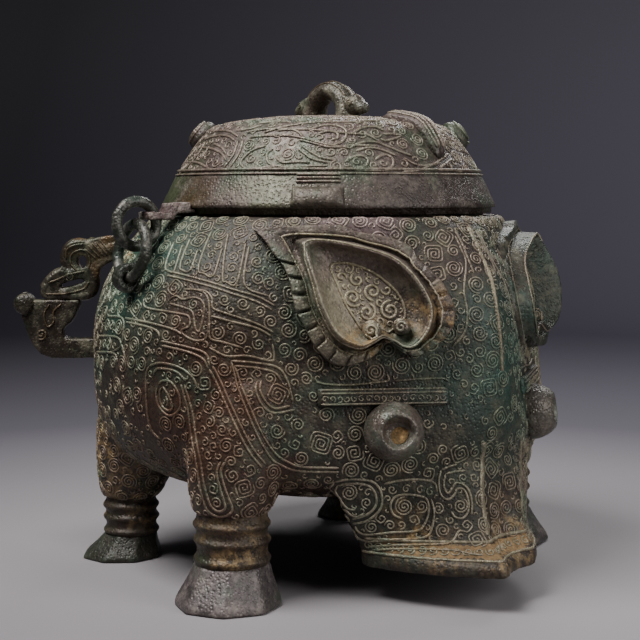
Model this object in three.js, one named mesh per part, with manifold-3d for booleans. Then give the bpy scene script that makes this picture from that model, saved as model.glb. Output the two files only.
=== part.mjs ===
// A lidded bronze wine vessel whose bowl is the body and head of a broad-faced animal on four hooves.
// Millimetres, +Z up, ground at z = 0, the bowl's axis on Z and the muzzle towards +X.
// "right" is the animal's own right side, towards -Y.
import * as THREE from "three";
import { mergeVertices } from "three/addons/utils/BufferGeometryUtils.js";
import Module from "manifold-3d";

const wasm = await Module();
wasm.setup();

// Room left between two castings that touch.
const seatGap = 0.3;

// Bowl: a round belly drawn in to a narrower mouth.
const bellyRadius = 140;
const bellyHeight = 128;
const bowlUnderside = 46;
const rimRadius = 103;
const rimHeight = 205;
const bowlWall = 5;
const lipWidth = 9;
const lipDepth = 6;
const shoulderPower = 2.25;
const bottomPower = 3.5;

// Head: two flat cheeks on the bowl's front that meet in an upright ridge, which widens into the nose.
const ridgeInset = 0.5;
const ridgeRise = 8;
const ridgeOverhang = 6.5;
const ridgeTuck = 3;
const ridgeHalfWidth = 5;
const noseHalfWidth = 16;
const noseSpread = 60;
const cheekAngle = THREE.MathUtils.degToRad(34);
const cheekFadeDepth = 40;
const cheekBlend = 10;
const ridgeBlend = 6;

// Muzzle: a flared block under the head. Its lip leans to the right and falls back on the left.
const muzzleBottom = 20;
const muzzleBandHeight = 6;
const muzzleRearInset = 51.5;
const lipOverhang = 24.5;
const lipHalfWidth = 18;
const lipShift = 6;
const lipSlant = 12;
const jawHalfWidth = 61;
const jawBulge = 7;
const muzzleRootRise = 42;
const muzzleRootHalfWidth = 80;
const muzzleRootInset = 12;

// Ears: heart-shaped leaves lying on the cheeks.
const earAzimuth = THREE.MathUtils.degToRad(36);
const earWidth = 108;
const earRimMargin = 6;
const earBrowMargin = 11.5;
const earBorderLift = 3.5;
const earCrestLift = 13;
const earBasinLift = 3;
const plateSink = 4;

// Eye bosses with a drilled pupil, and the barred brow above them.
const eyeAzimuth = THREE.MathUtils.degToRad(26.5);
const eyeDrop = 35;
const eyeRadius = 16;
const eyeLift = 14;
const pupilRadius = 7;
const pupilDepth = 8;
const browInnerAzimuth = THREE.MathUtils.degToRad(13);
const browOuterAzimuth = THREE.MathUtils.degToRad(45);
const browGap = 2.5;
const browTall = 9;
const browLift = 2;

// Legs: a haunch on the belly, a ringed ankle and a bell-shaped hoof. The left legs stand further in.
const leftTuck = 13;
const frontLeg = {
  azimuth: THREE.MathUtils.degToRad(66.7),
  inset: 15.6,
  ankleRadius: 20,
  soleRadius: 27,
  toeReach: 5,
  hoofHeight: 23,
  ankleHeight: 26,
  haunchRadius: 34,
  haunchLean: 20,
  haunchTop: 10,
};
const hindLeg = {
  azimuth: THREE.MathUtils.degToRad(129.6),
  inset: 21,
  ankleRadius: 16,
  soleRadius: 22.5,
  toeReach: 6,
  hoofHeight: 15,
  ankleHeight: 21,
  haunchRadius: 36,
  haunchLean: 20,
  haunchTop: 10,
};
const beadCount = 3;
const beadSwell = 1.6;

// Handle: a flat arch standing on the shoulder, with a beast's head at its root.
const handleAzimuth = THREE.MathUtils.degToRad(-130);
const handleReach = 46;
const handleDrop = 8.7;
const handleTopDrop = 11.7;
const handleThickness = 14;
const curlRadius = 6.5;
const curlWidth = 18;

// Chain: a lug on the shoulder, two linked rings and a lug on the lid.
const chainAzimuth = THREE.MathUtils.degToRad(-96);
const wireRadius = 3.3;
const lowerRingRadius = 15;
const upperRingRadius = 12.2;
const linkClearance = 1.5;
const eyeletDrop = 34;
const eyeletSkinWall = 0.8;
const eyeletRadius = 8;
const eyeletThickness = 8;
const wireClearance = 1.1;
const curvedWireClearance = 1.9;
const lidLugWidth = 12;
const lidLugTip = 8;
const lidLugThickness = 4.5;

// Lid: a domed cover whose flange drops into the mouth.
const lidGap = 3.5;
const lidInset = 4;
const lidBandHeight = 7;
const lidRise = 54;
const domeReachPower = 0.5;
const domeRisePower = 1.5;
const lidWall = 5;
const flangeDepth = 7;
const flangeClearance = 2.5;
const flangeWidth = 4.5;
const seatWidth = 5;
const tabAzimuth = THREE.MathUtils.degToRad(-47);
const tabHalfWidth = 14;
const tabHeight = 12;
const tabLift = 3;

// Crests on the dome: a snout ridge to the front and a knot on each side.
const snoutAzimuth = THREE.MathUtils.degToRad(5);
const snoutWidth = 16;
const snoutLift = 4;
const knotAzimuth = THREE.MathUtils.degToRad(48);
const knotRadius = 10;

// Knob: an arch with a small animal head at each foot.
const knobShift = 2;
const knobRadius = 21;
const knobOpening = 12;
const knobThickness = 12;
const knobHeadLength = 11;
const knobHeadRadius = 7;

// Facet counts.
const bowlColumns = 64;
const bowlRows = 16;
const innerRows = 9;
const legColumns = 18;
const lidColumns = 56;

// Sizes that follow from the ones above.
const ridgeReach = bellyRadius - ridgeInset;
const ridgeHeight = bellyHeight + ridgeRise;
const ridgeLean = ridgeReach - rimRadius - ridgeOverhang;
const bowlDepth = bellyHeight - bowlUnderside;
const mouthRadius = rimRadius - lipWidth;
const eyeHeight = bellyHeight - eyeDrop;
const browBottom = eyeHeight + eyeRadius - browGap;
const earTop = rimHeight - earRimMargin;
const earBottom = browBottom + browTall + earBrowMargin;
const earTall = earTop - earBottom;

const patina = { color: 0x3f4a3c, roughness: 0.62, metalness: 0.55 };
const purplePatina = { color: 0x5b4a48, roughness: 0.66, metalness: 0.5 };
const greenPatina = { color: 0x4c6a55, roughness: 0.7, metalness: 0.4 };

// Returns the smaller of two radii, rounded where they are within the blend of each other.
function softMin(a, b, blend) {
  const near = Math.max(blend - Math.abs(a - b), 0) / blend;
  return Math.min(a, b) - (near * near * blend) / 4;
}

// Radius of the round belly at a height.
function roundRadius(z) {
  if (z >= bellyHeight) {
    const rise = Math.min(1, (z - bellyHeight) / (rimHeight - bellyHeight));
    return bellyRadius - (bellyRadius - rimRadius) * rise ** shoulderPower;
  }
  const fall = Math.min(1, (bellyHeight - z) / bowlDepth);
  return bellyRadius * (1 - fall ** bottomPower) ** (1 / bottomPower);
}

// Distance of the forehead ridge from the axis at a height.
function ridgeAt(z) {
  const above = Math.max(0, (z - ridgeHeight) / (rimHeight - ridgeHeight));
  const below = Math.max(0, (ridgeHeight - z) / (ridgeHeight - bowlUnderside));
  return ridgeReach - ridgeLean * above ** 2 - ridgeTuck * below ** 2;
}

// Radius of the bowl's outer skin in one direction: the round belly cut by the cheeks and the ridge.
function skinRadius(phi, z, round = roundRadius(z)) {
  const ridge = ridgeAt(z);
  const narrowing = THREE.MathUtils.smoothstep(z, ridgeHeight - noseSpread, ridgeHeight);
  const frontHalf = THREE.MathUtils.lerp(noseHalfWidth, ridgeHalfWidth, narrowing);
  const flat = ridge * Math.cos(cheekAngle) + frontHalf * Math.sin(cheekAngle);
  const fade = THREE.MathUtils.smoothstep(z, rimHeight - cheekFadeDepth, rimHeight);
  const cheek = THREE.MathUtils.lerp(flat, Math.max(flat, rimRadius + 2), fade);
  let radius = round;
  for (const side of [1, -1]) {
    const facing = Math.cos(phi - side * cheekAngle);
    if (facing > 0.2) radius = softMin(radius, cheek / facing, cheekBlend);
  }
  if (Math.cos(phi) > 0.3) radius = softMin(radius, ridge / Math.cos(phi), ridgeBlend);
  return radius;
}

// A place given by direction, distance from the axis and height.
function polar(phi, radius, z) {
  return new THREE.Vector3(radius * Math.cos(phi), radius * Math.sin(phi), z);
}

function skinPoint(phi, z) {
  return polar(phi, skinRadius(phi, z), z);
}

// Outward direction of the skin, from two short steps along it.
function skinNormal(phi, z) {
  const step = 0.5;
  const here = skinPoint(phi, z);
  const round = skinPoint(phi + step / bellyRadius, z).sub(here);
  const up = skinPoint(phi, z + step).sub(here);
  return round.cross(up).normalize();
}

// Skins rings of equal length into one closed body; both ends close on a pole.
// Rings run anticlockwise seen from the side they climb towards.
function loft(rings, startPole, endPole) {
  const count = rings[0].length;
  const points = [...rings.flat(), startPole, endPole];
  const positions = points.flatMap((p) => [p.x, p.y, p.z]);
  const index = [];
  for (let i = 0; i < rings.length - 1; i += 1) {
    for (let j = 0; j < count; j += 1) {
      const a = i * count + j;
      const b = i * count + ((j + 1) % count);
      index.push(a, b, b + count, a, b + count, a + count);
    }
  }
  const last = (rings.length - 1) * count;
  const start = rings.length * count;
  for (let j = 0; j < count; j += 1) {
    const next = (j + 1) % count;
    index.push(start, next, j);
    index.push(start + 1, last + j, last + next);
  }
  const geometry = new THREE.BufferGeometry();
  geometry.setAttribute("position", new THREE.Float32BufferAttribute(positions, 3));
  geometry.setIndex(index);
  return geometry;
}

// Shares the corners of neighbouring faces and drops faces that have no area.
function weld(geometry) {
  const bare = geometry.clone();
  bare.deleteAttribute("normal");
  bare.deleteAttribute("uv");
  const merged = mergeVertices(bare, 1e-3);
  const corners = merged.index.array;
  const kept = [];
  for (let i = 0; i < corners.length; i += 3) {
    const [a, b, c] = [corners[i], corners[i + 1], corners[i + 2]];
    if (a !== b && b !== c && c !== a) kept.push(a, b, c);
  }
  merged.setIndex(kept);
  return merged;
}

function toSolid(geometry) {
  const merged = weld(geometry);
  return new wasm.Manifold(
    new wasm.Mesh({
      numProp: 3,
      vertProperties: new Float32Array(merged.attributes.position.array),
      triVerts: new Uint32Array(merged.index.array),
    }),
  );
}

function toGeometry(solid) {
  const mesh = solid.getMesh();
  const geometry = new THREE.BufferGeometry();
  geometry.setAttribute("position", new THREE.BufferAttribute(mesh.vertProperties, 3));
  geometry.setIndex(new THREE.BufferAttribute(mesh.triVerts, 1));
  return geometry;
}

// Cuts pieces out of a body and keeps its largest part.
function cut(geometry, ...tools) {
  let solid = toSolid(geometry);
  for (const tool of tools) solid = solid.subtract(toSolid(tool));
  const parts = solid.decompose().sort((a, b) => b.volume() - a.volume());
  return toGeometry(parts[0]);
}

// The same body with its surface moved outwards.
function grown(geometry, distance) {
  const wide = weld(geometry);
  wide.computeVertexNormals();
  const place = wide.attributes.position;
  const normal = wide.attributes.normal;
  for (let i = 0; i < place.count; i += 1) {
    place.setXYZ(
      i,
      place.getX(i) + distance * normal.getX(i),
      place.getY(i) + distance * normal.getY(i),
      place.getZ(i) + distance * normal.getZ(i),
    );
  }
  return wide;
}

// The mirror image across the animal's middle plane.
function mirrored(geometry) {
  const twin = weld(geometry);
  twin.scale(1, -1, 1);
  const corners = Array.from(twin.index.array);
  for (let i = 0; i < corners.length; i += 3) {
    [corners[i + 1], corners[i + 2]] = [corners[i + 2], corners[i + 1]];
  }
  twin.setIndex(corners);
  return twin;
}

// A plate whose outline lies in the upright plane through the axis at one azimuth.
function radialPlate(shape, thickness, azimuth) {
  const plate = new THREE.ExtrudeGeometry(shape, {
    depth: thickness,
    bevelEnabled: false,
    curveSegments: 8,
  });
  plate.rotateX(Math.PI / 2);
  plate.translate(0, thickness / 2, 0);
  plate.rotateZ(azimuth);
  return plate;
}

// Evenly spaced heights and round radii of the bowl, from its lowest ring to the rim.
function bowlProfile(rows) {
  const points = [];
  const steps = 40;
  for (let i = 1; i < steps; i += 1) {
    const turn = (Math.PI / 2) * (1 - i / steps);
    const out = bellyRadius * Math.cos(turn) ** (2 / bottomPower);
    points.push(new THREE.Vector2(out, bellyHeight - bowlDepth * Math.sin(turn) ** (2 / bottomPower)));
  }
  for (let i = 0; i <= steps; i += 1) {
    const z = THREE.MathUtils.lerp(bellyHeight, rimHeight, i / steps);
    points.push(new THREE.Vector2(roundRadius(z), z));
  }
  return new THREE.SplineCurve(points).getSpacedPoints(rows);
}

// Column directions, closer together across the narrow ridge.
const columns = [];
for (let j = 0; j < bowlColumns; j += 1) {
  const even = (2 * Math.PI * j) / bowlColumns;
  columns.push(even - 0.4 * Math.sin(even));
}

const outerRings = bowlProfile(bowlRows).map((row) =>
  columns.map((phi) => polar(phi, skinRadius(phi, row.y, row.x), row.y)),
);
const underPole = new THREE.Vector3(0, 0, bowlUnderside);

// The bowl's whole outside as one body without its hollow, which neighbours are cut to fit.
const bowlBlock = loft(outerRings, underPole, new THREE.Vector3(0, 0, rimHeight));
const bowlCutter = grown(bowlBlock, seatGap);

function makeBowl() {
  const inner = bowlProfile(innerRows).slice(0, -1).reverse();
  const innerRings = inner.map((row) =>
    columns.map((phi) => {
      const out = skinRadius(phi, row.y, row.x);
      const inward = row.x / bellyRadius;
      const lift = bowlWall * Math.sqrt(Math.max(0, 1 - inward ** bottomPower));
      const raised = row.y < bellyHeight ? row.y + lift : row.y;
      return polar(phi, out - bowlWall, raised);
    }),
  );
  const mouth = [rimHeight, rimHeight - lipDepth].map((z) =>
    columns.map((phi) => polar(phi, mouthRadius, z)),
  );
  const floor = new THREE.Vector3(0, 0, bowlUnderside + bowlWall);
  return loft([...outerRings, ...mouth, ...innerRings], underPole, floor);
}

// One level of the muzzle: blunt front, bulging sides and a straight rear. The flare is the share of
// the lip's full overhang that this level has.
function muzzleRing(z, flare, rearHalf, bulge, inset) {
  const nose = ridgeReach - ridgeTuck - inset;
  const front = THREE.MathUtils.lerp(nose, ridgeReach + lipOverhang, flare);
  const frontHalf = THREE.MathUtils.lerp(noseHalfWidth, lipHalfWidth, flare);
  const rear = bellyRadius - muzzleRearInset;
  const edge = (side) => {
    const setBack = side > 0 ? lipSlant * flare : 0;
    const corner = new THREE.Vector2(front - setBack, side * frontHalf - lipShift * flare);
    const back = new THREE.Vector2(rear, side * rearHalf);
    const outward = new THREE.Vector2(rearHalf - frontHalf, side * (front - rear)).normalize();
    const pull = corner.clone().add(back).multiplyScalar(0.5).addScaledVector(outward, 2 * bulge);
    return new THREE.QuadraticBezierCurve(corner, pull, back).getPoints(5);
  };
  const left = edge(1);
  const right = edge(-1).reverse();
  const middle = left[0].clone().add(right[right.length - 1]).multiplyScalar(0.5);
  const outline = [middle, ...left, new THREE.Vector2(rear, 0), ...right];
  return outline.map((p) => new THREE.Vector3(p.x, p.y, z));
}

function makeMuzzle() {
  const root = bowlUnderside + muzzleRootRise;
  const band = muzzleBottom + muzzleBandHeight;
  const level = (share) => THREE.MathUtils.lerp(band, root, share);
  const jaw = (share) => THREE.MathUtils.lerp(jawHalfWidth, muzzleRootHalfWidth, share);
  const rings = [
    muzzleRing(muzzleBottom, 1, jaw(0), jawBulge, 0),
    muzzleRing(band, 0.85, jaw(0.03), jawBulge, 0),
    muzzleRing(level(0.02), 0.65, jaw(0.05), jawBulge * 0.8, 0),
    muzzleRing(level(0.11), 0.35, jaw(0.2), jawBulge * 0.6, 0),
    muzzleRing(level(0.29), 0.05, jaw(0.45), jawBulge * 0.5, 0),
    muzzleRing(level(0.52), 0, jaw(0.85), jawBulge * 0.2, 1),
    muzzleRing(root, 0, jaw(1), 0, muzzleRootInset),
  ];
  const centre = bellyRadius - muzzleRearInset / 2;
  const bottom = new THREE.Vector3(centre, 0, muzzleBottom);
  return cut(loft(rings, bottom, new THREE.Vector3(centre, 0, root)), bowlCutter);
}

// Half-leaf outline of the ear, as shares of its half width and half height, from the tip round.
const earOutline = new THREE.CatmullRomCurve3(
  [
    [-0.95, 0.97],
    [-0.72, 0.5],
    [-0.55, -0.05],
    [-0.42, -0.6],
    [-0.22, -0.93],
    [0.02, -0.97],
    [0.24, -0.72],
    [0.5, -0.9],
    [0.74, -0.72],
    [0.92, -0.2],
    [0.88, 0.25],
    [0.6, 0.65],
    [0.05, 0.9],
    [-0.5, 1.0],
  ].map(([a, b]) => new THREE.Vector3((a * earWidth) / 2, (b * earTall) / 2, 0)),
  true,
);

// A leaf on the right cheek: rings of its outline at falling shares, each lifted off the skin.
function makeEar() {
  const centreHeight = (earTop + earBottom) / 2;
  const middle = new THREE.Vector3(0.1 * earWidth, 0, 0);
  const scale = skinRadius(-earAzimuth, centreHeight);
  const place = (offset, lift) => {
    const phi = -earAzimuth + offset.x / scale;
    const z = centreHeight + offset.y;
    return skinPoint(phi, z).addScaledVector(skinNormal(phi, z), lift);
  };
  const edge = earOutline.getSpacedPoints(36).slice(0, -1);
  const ring = (share, lift) => edge.map((p) => place(middle.clone().lerp(p, share), lift));
  const rings = [
    ring(0.5, -plateSink),
    ring(1, -plateSink),
    ring(1, earBorderLift),
    ring(0.84, earBorderLift),
    ring(0.76, earCrestLift),
    ring(0.71, earCrestLift),
    ring(0.55, earBasinLift),
    ring(0.3, earBasinLift),
  ];
  return loft(rings, place(middle, -plateSink), place(middle, earBasinLift));
}

// A domed boss with a blind pupil, turned about the cheek's normal.
function makeEye(extra = 0) {
  const radius = eyeRadius + extra;
  const profile = [
    [0, -plateSink],
    [radius, -plateSink],
    [radius, eyeLift * 0.2],
    [radius * 0.95, eyeLift * 0.45],
    [radius * 0.84, eyeLift * 0.72],
    [radius * 0.68, eyeLift * 0.91],
    [pupilRadius + 1.5, eyeLift],
    [pupilRadius, eyeLift * 0.97],
    [pupilRadius, eyeLift - pupilDepth],
    [0, eyeLift - pupilDepth],
  ].map(([r, h]) => new THREE.Vector2(r, h));
  const boss = new THREE.LatheGeometry(profile, 24);
  const normal = skinNormal(-eyeAzimuth, eyeHeight);
  boss.applyQuaternion(new THREE.Quaternion().setFromUnitVectors(new THREE.Vector3(0, 1, 0), normal));
  const base = skinPoint(-eyeAzimuth, eyeHeight);
  return boss.translate(base.x, base.y, base.z);
}

// A low bar along the cheek over the eye.
function makeBrow() {
  const steps = 10;
  const corners = [
    [browBottom, -plateSink],
    [browBottom + browTall, -plateSink],
    [browBottom + browTall, browLift],
    [browBottom, browLift],
  ];
  const rings = [];
  for (let i = 0; i <= steps; i += 1) {
    const phi = -THREE.MathUtils.lerp(browOuterAzimuth, browInnerAzimuth, i / steps);
    rings.push(corners.map(([z, lift]) => skinPoint(phi, z).addScaledVector(skinNormal(phi, z), lift)));
  }
  const centre = (ring) => ring.reduce((sum, p) => sum.add(p), new THREE.Vector3()).divideScalar(4);
  return loft(rings, centre(rings[0]), centre(rings[steps]));
}

// Distance of a leg's ankle from the bowl's axis.
function legReach(leg, side) {
  return bellyRadius - leg.inset - (side > 0 ? leftTuck : 0);
}

// A level round of a leg about a point at some distance from the bowl's axis.
function legRing(leg, side, reach, radius, z) {
  const azimuth = side * leg.azimuth;
  const centre = polar(azimuth, reach, z);
  const ring = [];
  for (let j = 0; j < legColumns; j += 1) {
    ring.push(polar(azimuth + (2 * Math.PI * j) / legColumns, radius, 0).add(centre));
  }
  return ring;
}

// Stacks leg rounds given as [reach, radius, height] into one body.
function legLoft(leg, side, rounds) {
  const rings = rounds.map(([reach, radius, z]) => legRing(leg, side, reach, radius, z));
  const [startReach, , startZ] = rounds[0];
  const [endReach, , endZ] = rounds[rounds.length - 1];
  const azimuth = side * leg.azimuth;
  return loft(rings, polar(azimuth, startReach, startZ), polar(azimuth, endReach, endZ));
}

// A bell-shaped hoof, its toe thrown outwards.
function makeHoof(leg, side) {
  const reach = legReach(leg, side);
  const flared = (share) => THREE.MathUtils.lerp(leg.ankleRadius, leg.soleRadius, share);
  const rounds = [
    [reach + leg.toeReach, leg.soleRadius, 0],
    [reach + leg.toeReach, leg.soleRadius, leg.hoofHeight * 0.12],
    [reach + leg.toeReach * 0.5, flared(0.5), leg.hoofHeight * 0.45],
    [reach + leg.toeReach * 0.1, flared(0.15), leg.hoofHeight * 0.8],
    [reach, leg.ankleRadius, leg.hoofHeight],
  ];
  return legLoft(leg, side, rounds);
}

// The ankle with its raised beads.
function makeAnkle(leg, side) {
  const reach = legReach(leg, side);
  const start = leg.hoofHeight + seatGap;
  const beadHeight = (leg.ankleHeight - seatGap) / beadCount;
  const rounds = [[reach, leg.ankleRadius - 1, start]];
  for (let i = 0; i < beadCount; i += 1) {
    const z = start + beadHeight * i;
    rounds.push([reach, leg.ankleRadius, z + beadHeight * 0.35]);
    rounds.push([reach, leg.ankleRadius + beadSwell, z + beadHeight * 0.6]);
    rounds.push([reach, leg.ankleRadius, z + beadHeight * 0.9]);
  }
  rounds.push([reach, leg.ankleRadius - 1, start + beadHeight * beadCount]);
  return legLoft(leg, side, rounds);
}

// The haunch swells upwards, leans in towards the axis and ends inside the belly's outline.
function makeHaunch(leg, side) {
  const reach = legReach(leg, side);
  const bottom = leg.hoofHeight + leg.ankleHeight + seatGap;
  const top = bellyHeight - leg.haunchTop;
  const rounds = [];
  const steps = 6;
  for (let i = 0; i <= steps; i += 1) {
    const share = i / steps;
    const radius = THREE.MathUtils.lerp(leg.ankleRadius, leg.haunchRadius, share ** 0.6);
    rounds.push([reach - leg.haunchLean * share ** 1.2, radius, THREE.MathUtils.lerp(bottom, top, share)]);
  }
  return cut(legLoft(leg, side, rounds), bowlCutter);
}

// A point of the handle's outline, from shares of its reach past the belly and of its height.
const handleFoot = bellyHeight - handleDrop;
const handleHead = rimHeight - handleTopDrop;
function handlePoint([out, up]) {
  return new THREE.Vector2(bellyRadius + out * handleReach, THREE.MathUtils.lerp(handleFoot, handleHead, up));
}

const curlCentre = handlePoint([0.88, 0.44]);

// The scroll at the handle's outer corner.
function makeHandleCurl(extra = 0) {
  const radius = curlRadius + extra;
  const curl = new THREE.CylinderGeometry(radius, radius, curlWidth + 2 * extra, 16);
  curl.translate(curlCentre.x, 0, curlCentre.y);
  return curl.rotateZ(handleAzimuth);
}

// The lower bar and the upright of the handle, bent round the finger gap.
function makeHandleLoop() {
  const outline = [
    [-0.4, 0],
    [0.54, 0],
    [0.67, 0.02],
    [0.76, 0.08],
    [0.86, 0.21],
    [0.91, 0.32],
    [0.97, 0.44],
    [0.88, 0.48],
    [0.15, 0.48],
    [0.15, 0.43],
    [0.24, 0.31],
    [0.39, 0.24],
    [0.37, 0.17],
    [-0.4, 0.17],
  ];
  const shape = new THREE.Shape(outline.map(handlePoint));
  return cut(radialPlate(shape, handleThickness, handleAzimuth), bowlCutter, makeHandleCurl(seatGap));
}

// The beast's head and the neck that holds it to the shoulder.
function makeHandleHead() {
  const headFoot = 0.48 + seatGap / (handleHead - handleFoot);
  const outline = [
    [-0.8, 0.82],
    [-0.01, 0.82],
    [-0.01, headFoot],
    [0.67, headFoot],
    [0.63, 0.59],
    [0.54, 0.645],
    [0.41, 0.7],
    [0.37, 0.75],
    [0.39, 0.79],
    [0.32, 0.9],
    [0.21, 0.94],
    [-0.23, 1],
    [-0.8, 1],
  ];
  const shape = new THREE.Shape(outline.map(handlePoint));
  const hornGap = handlePoint([0.17, 0.78]);
  shape.holes.push(new THREE.Path().absellipse(hornGap.x, hornGap.y, 2.6, 3.4, 0, 2 * Math.PI, true, 0));
  return cut(radialPlate(shape, handleThickness, handleAzimuth), bowlCutter, makeHandleCurl(seatGap));
}

// Distance from the bowl's axis at which a round of this radius and height just clears the shoulder.
function clearReach(height, radius) {
  let reach = 0;
  for (let z = height - radius; z <= height; z += 1) {
    const half = Math.sqrt(radius ** 2 - (height - z) ** 2);
    reach = Math.max(reach, skinRadius(chainAzimuth, z) + half);
  }
  return reach;
}

// Places of the chain in its upright plane: the shoulder lug's eye and the lower ring's top, each a
// named clearance off the shoulder. The lower ring leans from the one to the other.
const eyeletBore = wireRadius + wireClearance;
const eyeletHeight = rimHeight - eyeletDrop;
const eyeletReach = clearReach(eyeletHeight, eyeletBore + seatGap + eyeletSkinWall);
const linkTop = eyeletHeight + 2 * lowerRingRadius;
const linkReach = clearReach(linkTop, upperRingRadius + wireRadius + linkClearance);
const ringLean = Math.asin((eyeletReach - linkReach) / (2 * lowerRingRadius));
const linkHeight = eyeletHeight + 2 * lowerRingRadius * Math.cos(ringLean);

function makeEyelet() {
  const shape = new THREE.Shape();
  const root = eyeletReach - 4 * eyeletRadius;
  shape.moveTo(root, eyeletHeight - eyeletRadius);
  shape.absarc(eyeletReach, eyeletHeight, eyeletRadius, -Math.PI / 2, Math.PI / 2, false);
  shape.lineTo(root, eyeletHeight + eyeletRadius);
  shape.holes.push(new THREE.Path().absarc(eyeletReach, eyeletHeight, eyeletBore, 0, 2 * Math.PI, true));
  return cut(radialPlate(shape, eyeletThickness, chainAzimuth), bowlCutter);
}

// The lower ring stands across the chain's plane and leans in; the upper ring lies in that plane.
function makeLowerRing() {
  const ring = new THREE.TorusGeometry(lowerRingRadius, wireRadius, 8, 26);
  ring.rotateY(Math.PI / 2);
  ring.translate(0, 0, lowerRingRadius);
  ring.rotateY(-ringLean);
  ring.translate(eyeletReach, 0, eyeletHeight);
  return ring.rotateZ(chainAzimuth);
}

function makeUpperRing() {
  const ring = new THREE.TorusGeometry(upperRingRadius, wireRadius, 8, 24);
  ring.rotateX(Math.PI / 2);
  ring.translate(linkReach, 0, linkHeight);
  return ring.rotateZ(chainAzimuth);
}

// The lid: its dome as a share of the way from the band's top edge to the middle.
const lidRadius = rimRadius - lidInset;
const lidBottom = rimHeight + lidGap;
const lidBandTop = lidBottom + lidBandHeight;
const lidTop = lidBottom + lidRise;
const flangeRadius = mouthRadius - flangeClearance;
function lidOutside(share) {
  const turn = (share * Math.PI) / 2;
  const height = THREE.MathUtils.lerp(lidBandTop, lidTop, Math.sin(turn) ** domeRisePower);
  return new THREE.Vector2(lidRadius * Math.cos(turn) ** domeReachPower, height);
}

// The lid's outer line from the flange's foot over its seat and band to the top, moved out by a margin.
function lidOuterLine(margin = 0) {
  const flangeFoot = rimHeight - flangeDepth;
  const seat = rimHeight + seatGap;
  const seatRadius = flangeRadius + seatWidth;
  const foot = [
    [flangeRadius, flangeFoot],
    [flangeRadius, seat],
    [seatRadius, seat],
    [seatRadius, lidBottom],
    [lidRadius, lidBottom],
  ].map(([r, z]) => new THREE.Vector2(r + margin, z - margin));
  const dome = [];
  const steps = 10;
  for (let i = 0; i < steps; i += 1) {
    const point = lidOutside(i / steps);
    dome.push(new THREE.Vector2(point.x + margin, point.y + margin));
  }
  return [...foot, ...dome, new THREE.Vector2(0, lidTop + margin)];
}

function makeLid() {
  const flangeInside = flangeRadius - flangeWidth;
  const outer = lidOuterLine();
  const underside = outer
    .map((p) => new THREE.Vector2(p.x - lidWall, p.y - lidWall))
    .filter((p) => p.x > 0 && p.x < flangeInside - 1 && p.y > lidBottom)
    .reverse();
  const section = [
    new THREE.Vector2(0, lidTop - lidWall),
    ...underside,
    new THREE.Vector2(flangeInside, lidBottom),
    new THREE.Vector2(flangeInside, rimHeight - flangeDepth),
    ...outer,
  ];
  return new THREE.LatheGeometry(section, lidColumns).rotateX(Math.PI / 2);
}

// The lid's outside without its hollow, which the pieces on it are cut to fit.
function makeLidBlock() {
  const outer = lidOuterLine(seatGap);
  const section = [new THREE.Vector2(0, outer[0].y), ...outer];
  return new THREE.LatheGeometry(section, lidColumns).rotateX(Math.PI / 2);
}
const lidCutter = makeLidBlock();

// Distance from the axis and outward direction of the dome at a share of its rise.
function domeFrame(share, azimuth) {
  const here = lidOutside(share);
  const next = lidOutside(share + 0.01);
  const along = next.sub(here).normalize();
  const normal = polar(azimuth, along.y, -along.x);
  return { point: polar(azimuth, here.x, here.y), normal };
}

// A tongue on the lid's edge with an upright hole for the upper ring's wire.
function makeLidLug() {
  const underside = linkHeight + 2;
  const tip = linkReach - upperRingRadius + lidLugTip;
  const step = rimRadius + 5;
  const shape = new THREE.Shape();
  shape.moveTo(lidRadius - 6, rimHeight + 1);
  shape.lineTo(step, rimHeight + 1);
  shape.lineTo(step + 2, underside);
  shape.lineTo(tip, underside);
  shape.lineTo(tip, underside + lidLugThickness);
  shape.lineTo(step + 5, underside + lidLugThickness);
  shape.lineTo(step + 3, lidBottom + 3);
  shape.lineTo(lidRadius - 6, lidBottom + 4);
  const tongue = radialPlate(shape, lidLugWidth, chainAzimuth);
  const bore = wireRadius + curvedWireClearance;
  const hole = new THREE.CylinderGeometry(bore, bore, 6 * lidLugThickness, 16).rotateX(Math.PI / 2);
  hole.translate(linkReach - upperRingRadius + 1, 0, underside);
  return cut(tongue, lidCutter, hole.rotateZ(chainAzimuth));
}

// A thumb tab on the lid's plain band.
function makeLidTab() {
  const steps = 6;
  const rings = [];
  for (let i = 0; i <= steps; i += 1) {
    const share = (2 * i) / steps - 1;
    const phi = tabAzimuth + (share * tabHalfWidth) / lidRadius;
    const proud = tabLift * (1 - 0.5 * share ** 2);
    rings.push([
      polar(phi, lidRadius - plateSink, lidBottom + 0.5),
      polar(phi, lidRadius - plateSink, lidBottom + tabHeight),
      polar(phi, lidRadius + proud, lidBottom + tabHeight * 0.55),
      polar(phi, lidRadius + proud, lidBottom + 0.5),
    ]);
  }
  const centre = (ring) => ring.reduce((sum, p) => sum.add(p), new THREE.Vector3()).divideScalar(4);
  return cut(loft(rings, centre(rings[0]), centre(rings[steps])), lidCutter);
}

// A wedge running down the dome towards the front.
function makeLidSnout() {
  const rings = [0.86, 0.76, 0.66, 0.56, 0.46, 0.36].map((share, i) => {
    const { point, normal } = domeFrame(share, snoutAzimuth);
    const half = (snoutWidth / 2) * (1.3 - 0.12 * i);
    const across = polar(snoutAzimuth + Math.PI / 2, half, 0);
    const ridge = point.clone().addScaledVector(normal, snoutLift);
    const sunk = point.clone().addScaledVector(normal, -plateSink);
    const near = [point.clone().sub(across), sunk.clone().sub(across)];
    const far = [sunk.clone().add(across), point.clone().add(across)];
    return [ridge, ...near, ...far];
  });
  const centre = (ring) => ring.reduce((sum, p) => sum.add(p), new THREE.Vector3()).divideScalar(5);
  return cut(loft(rings, centre(rings[0]), centre(rings[5])), lidCutter);
}

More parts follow.
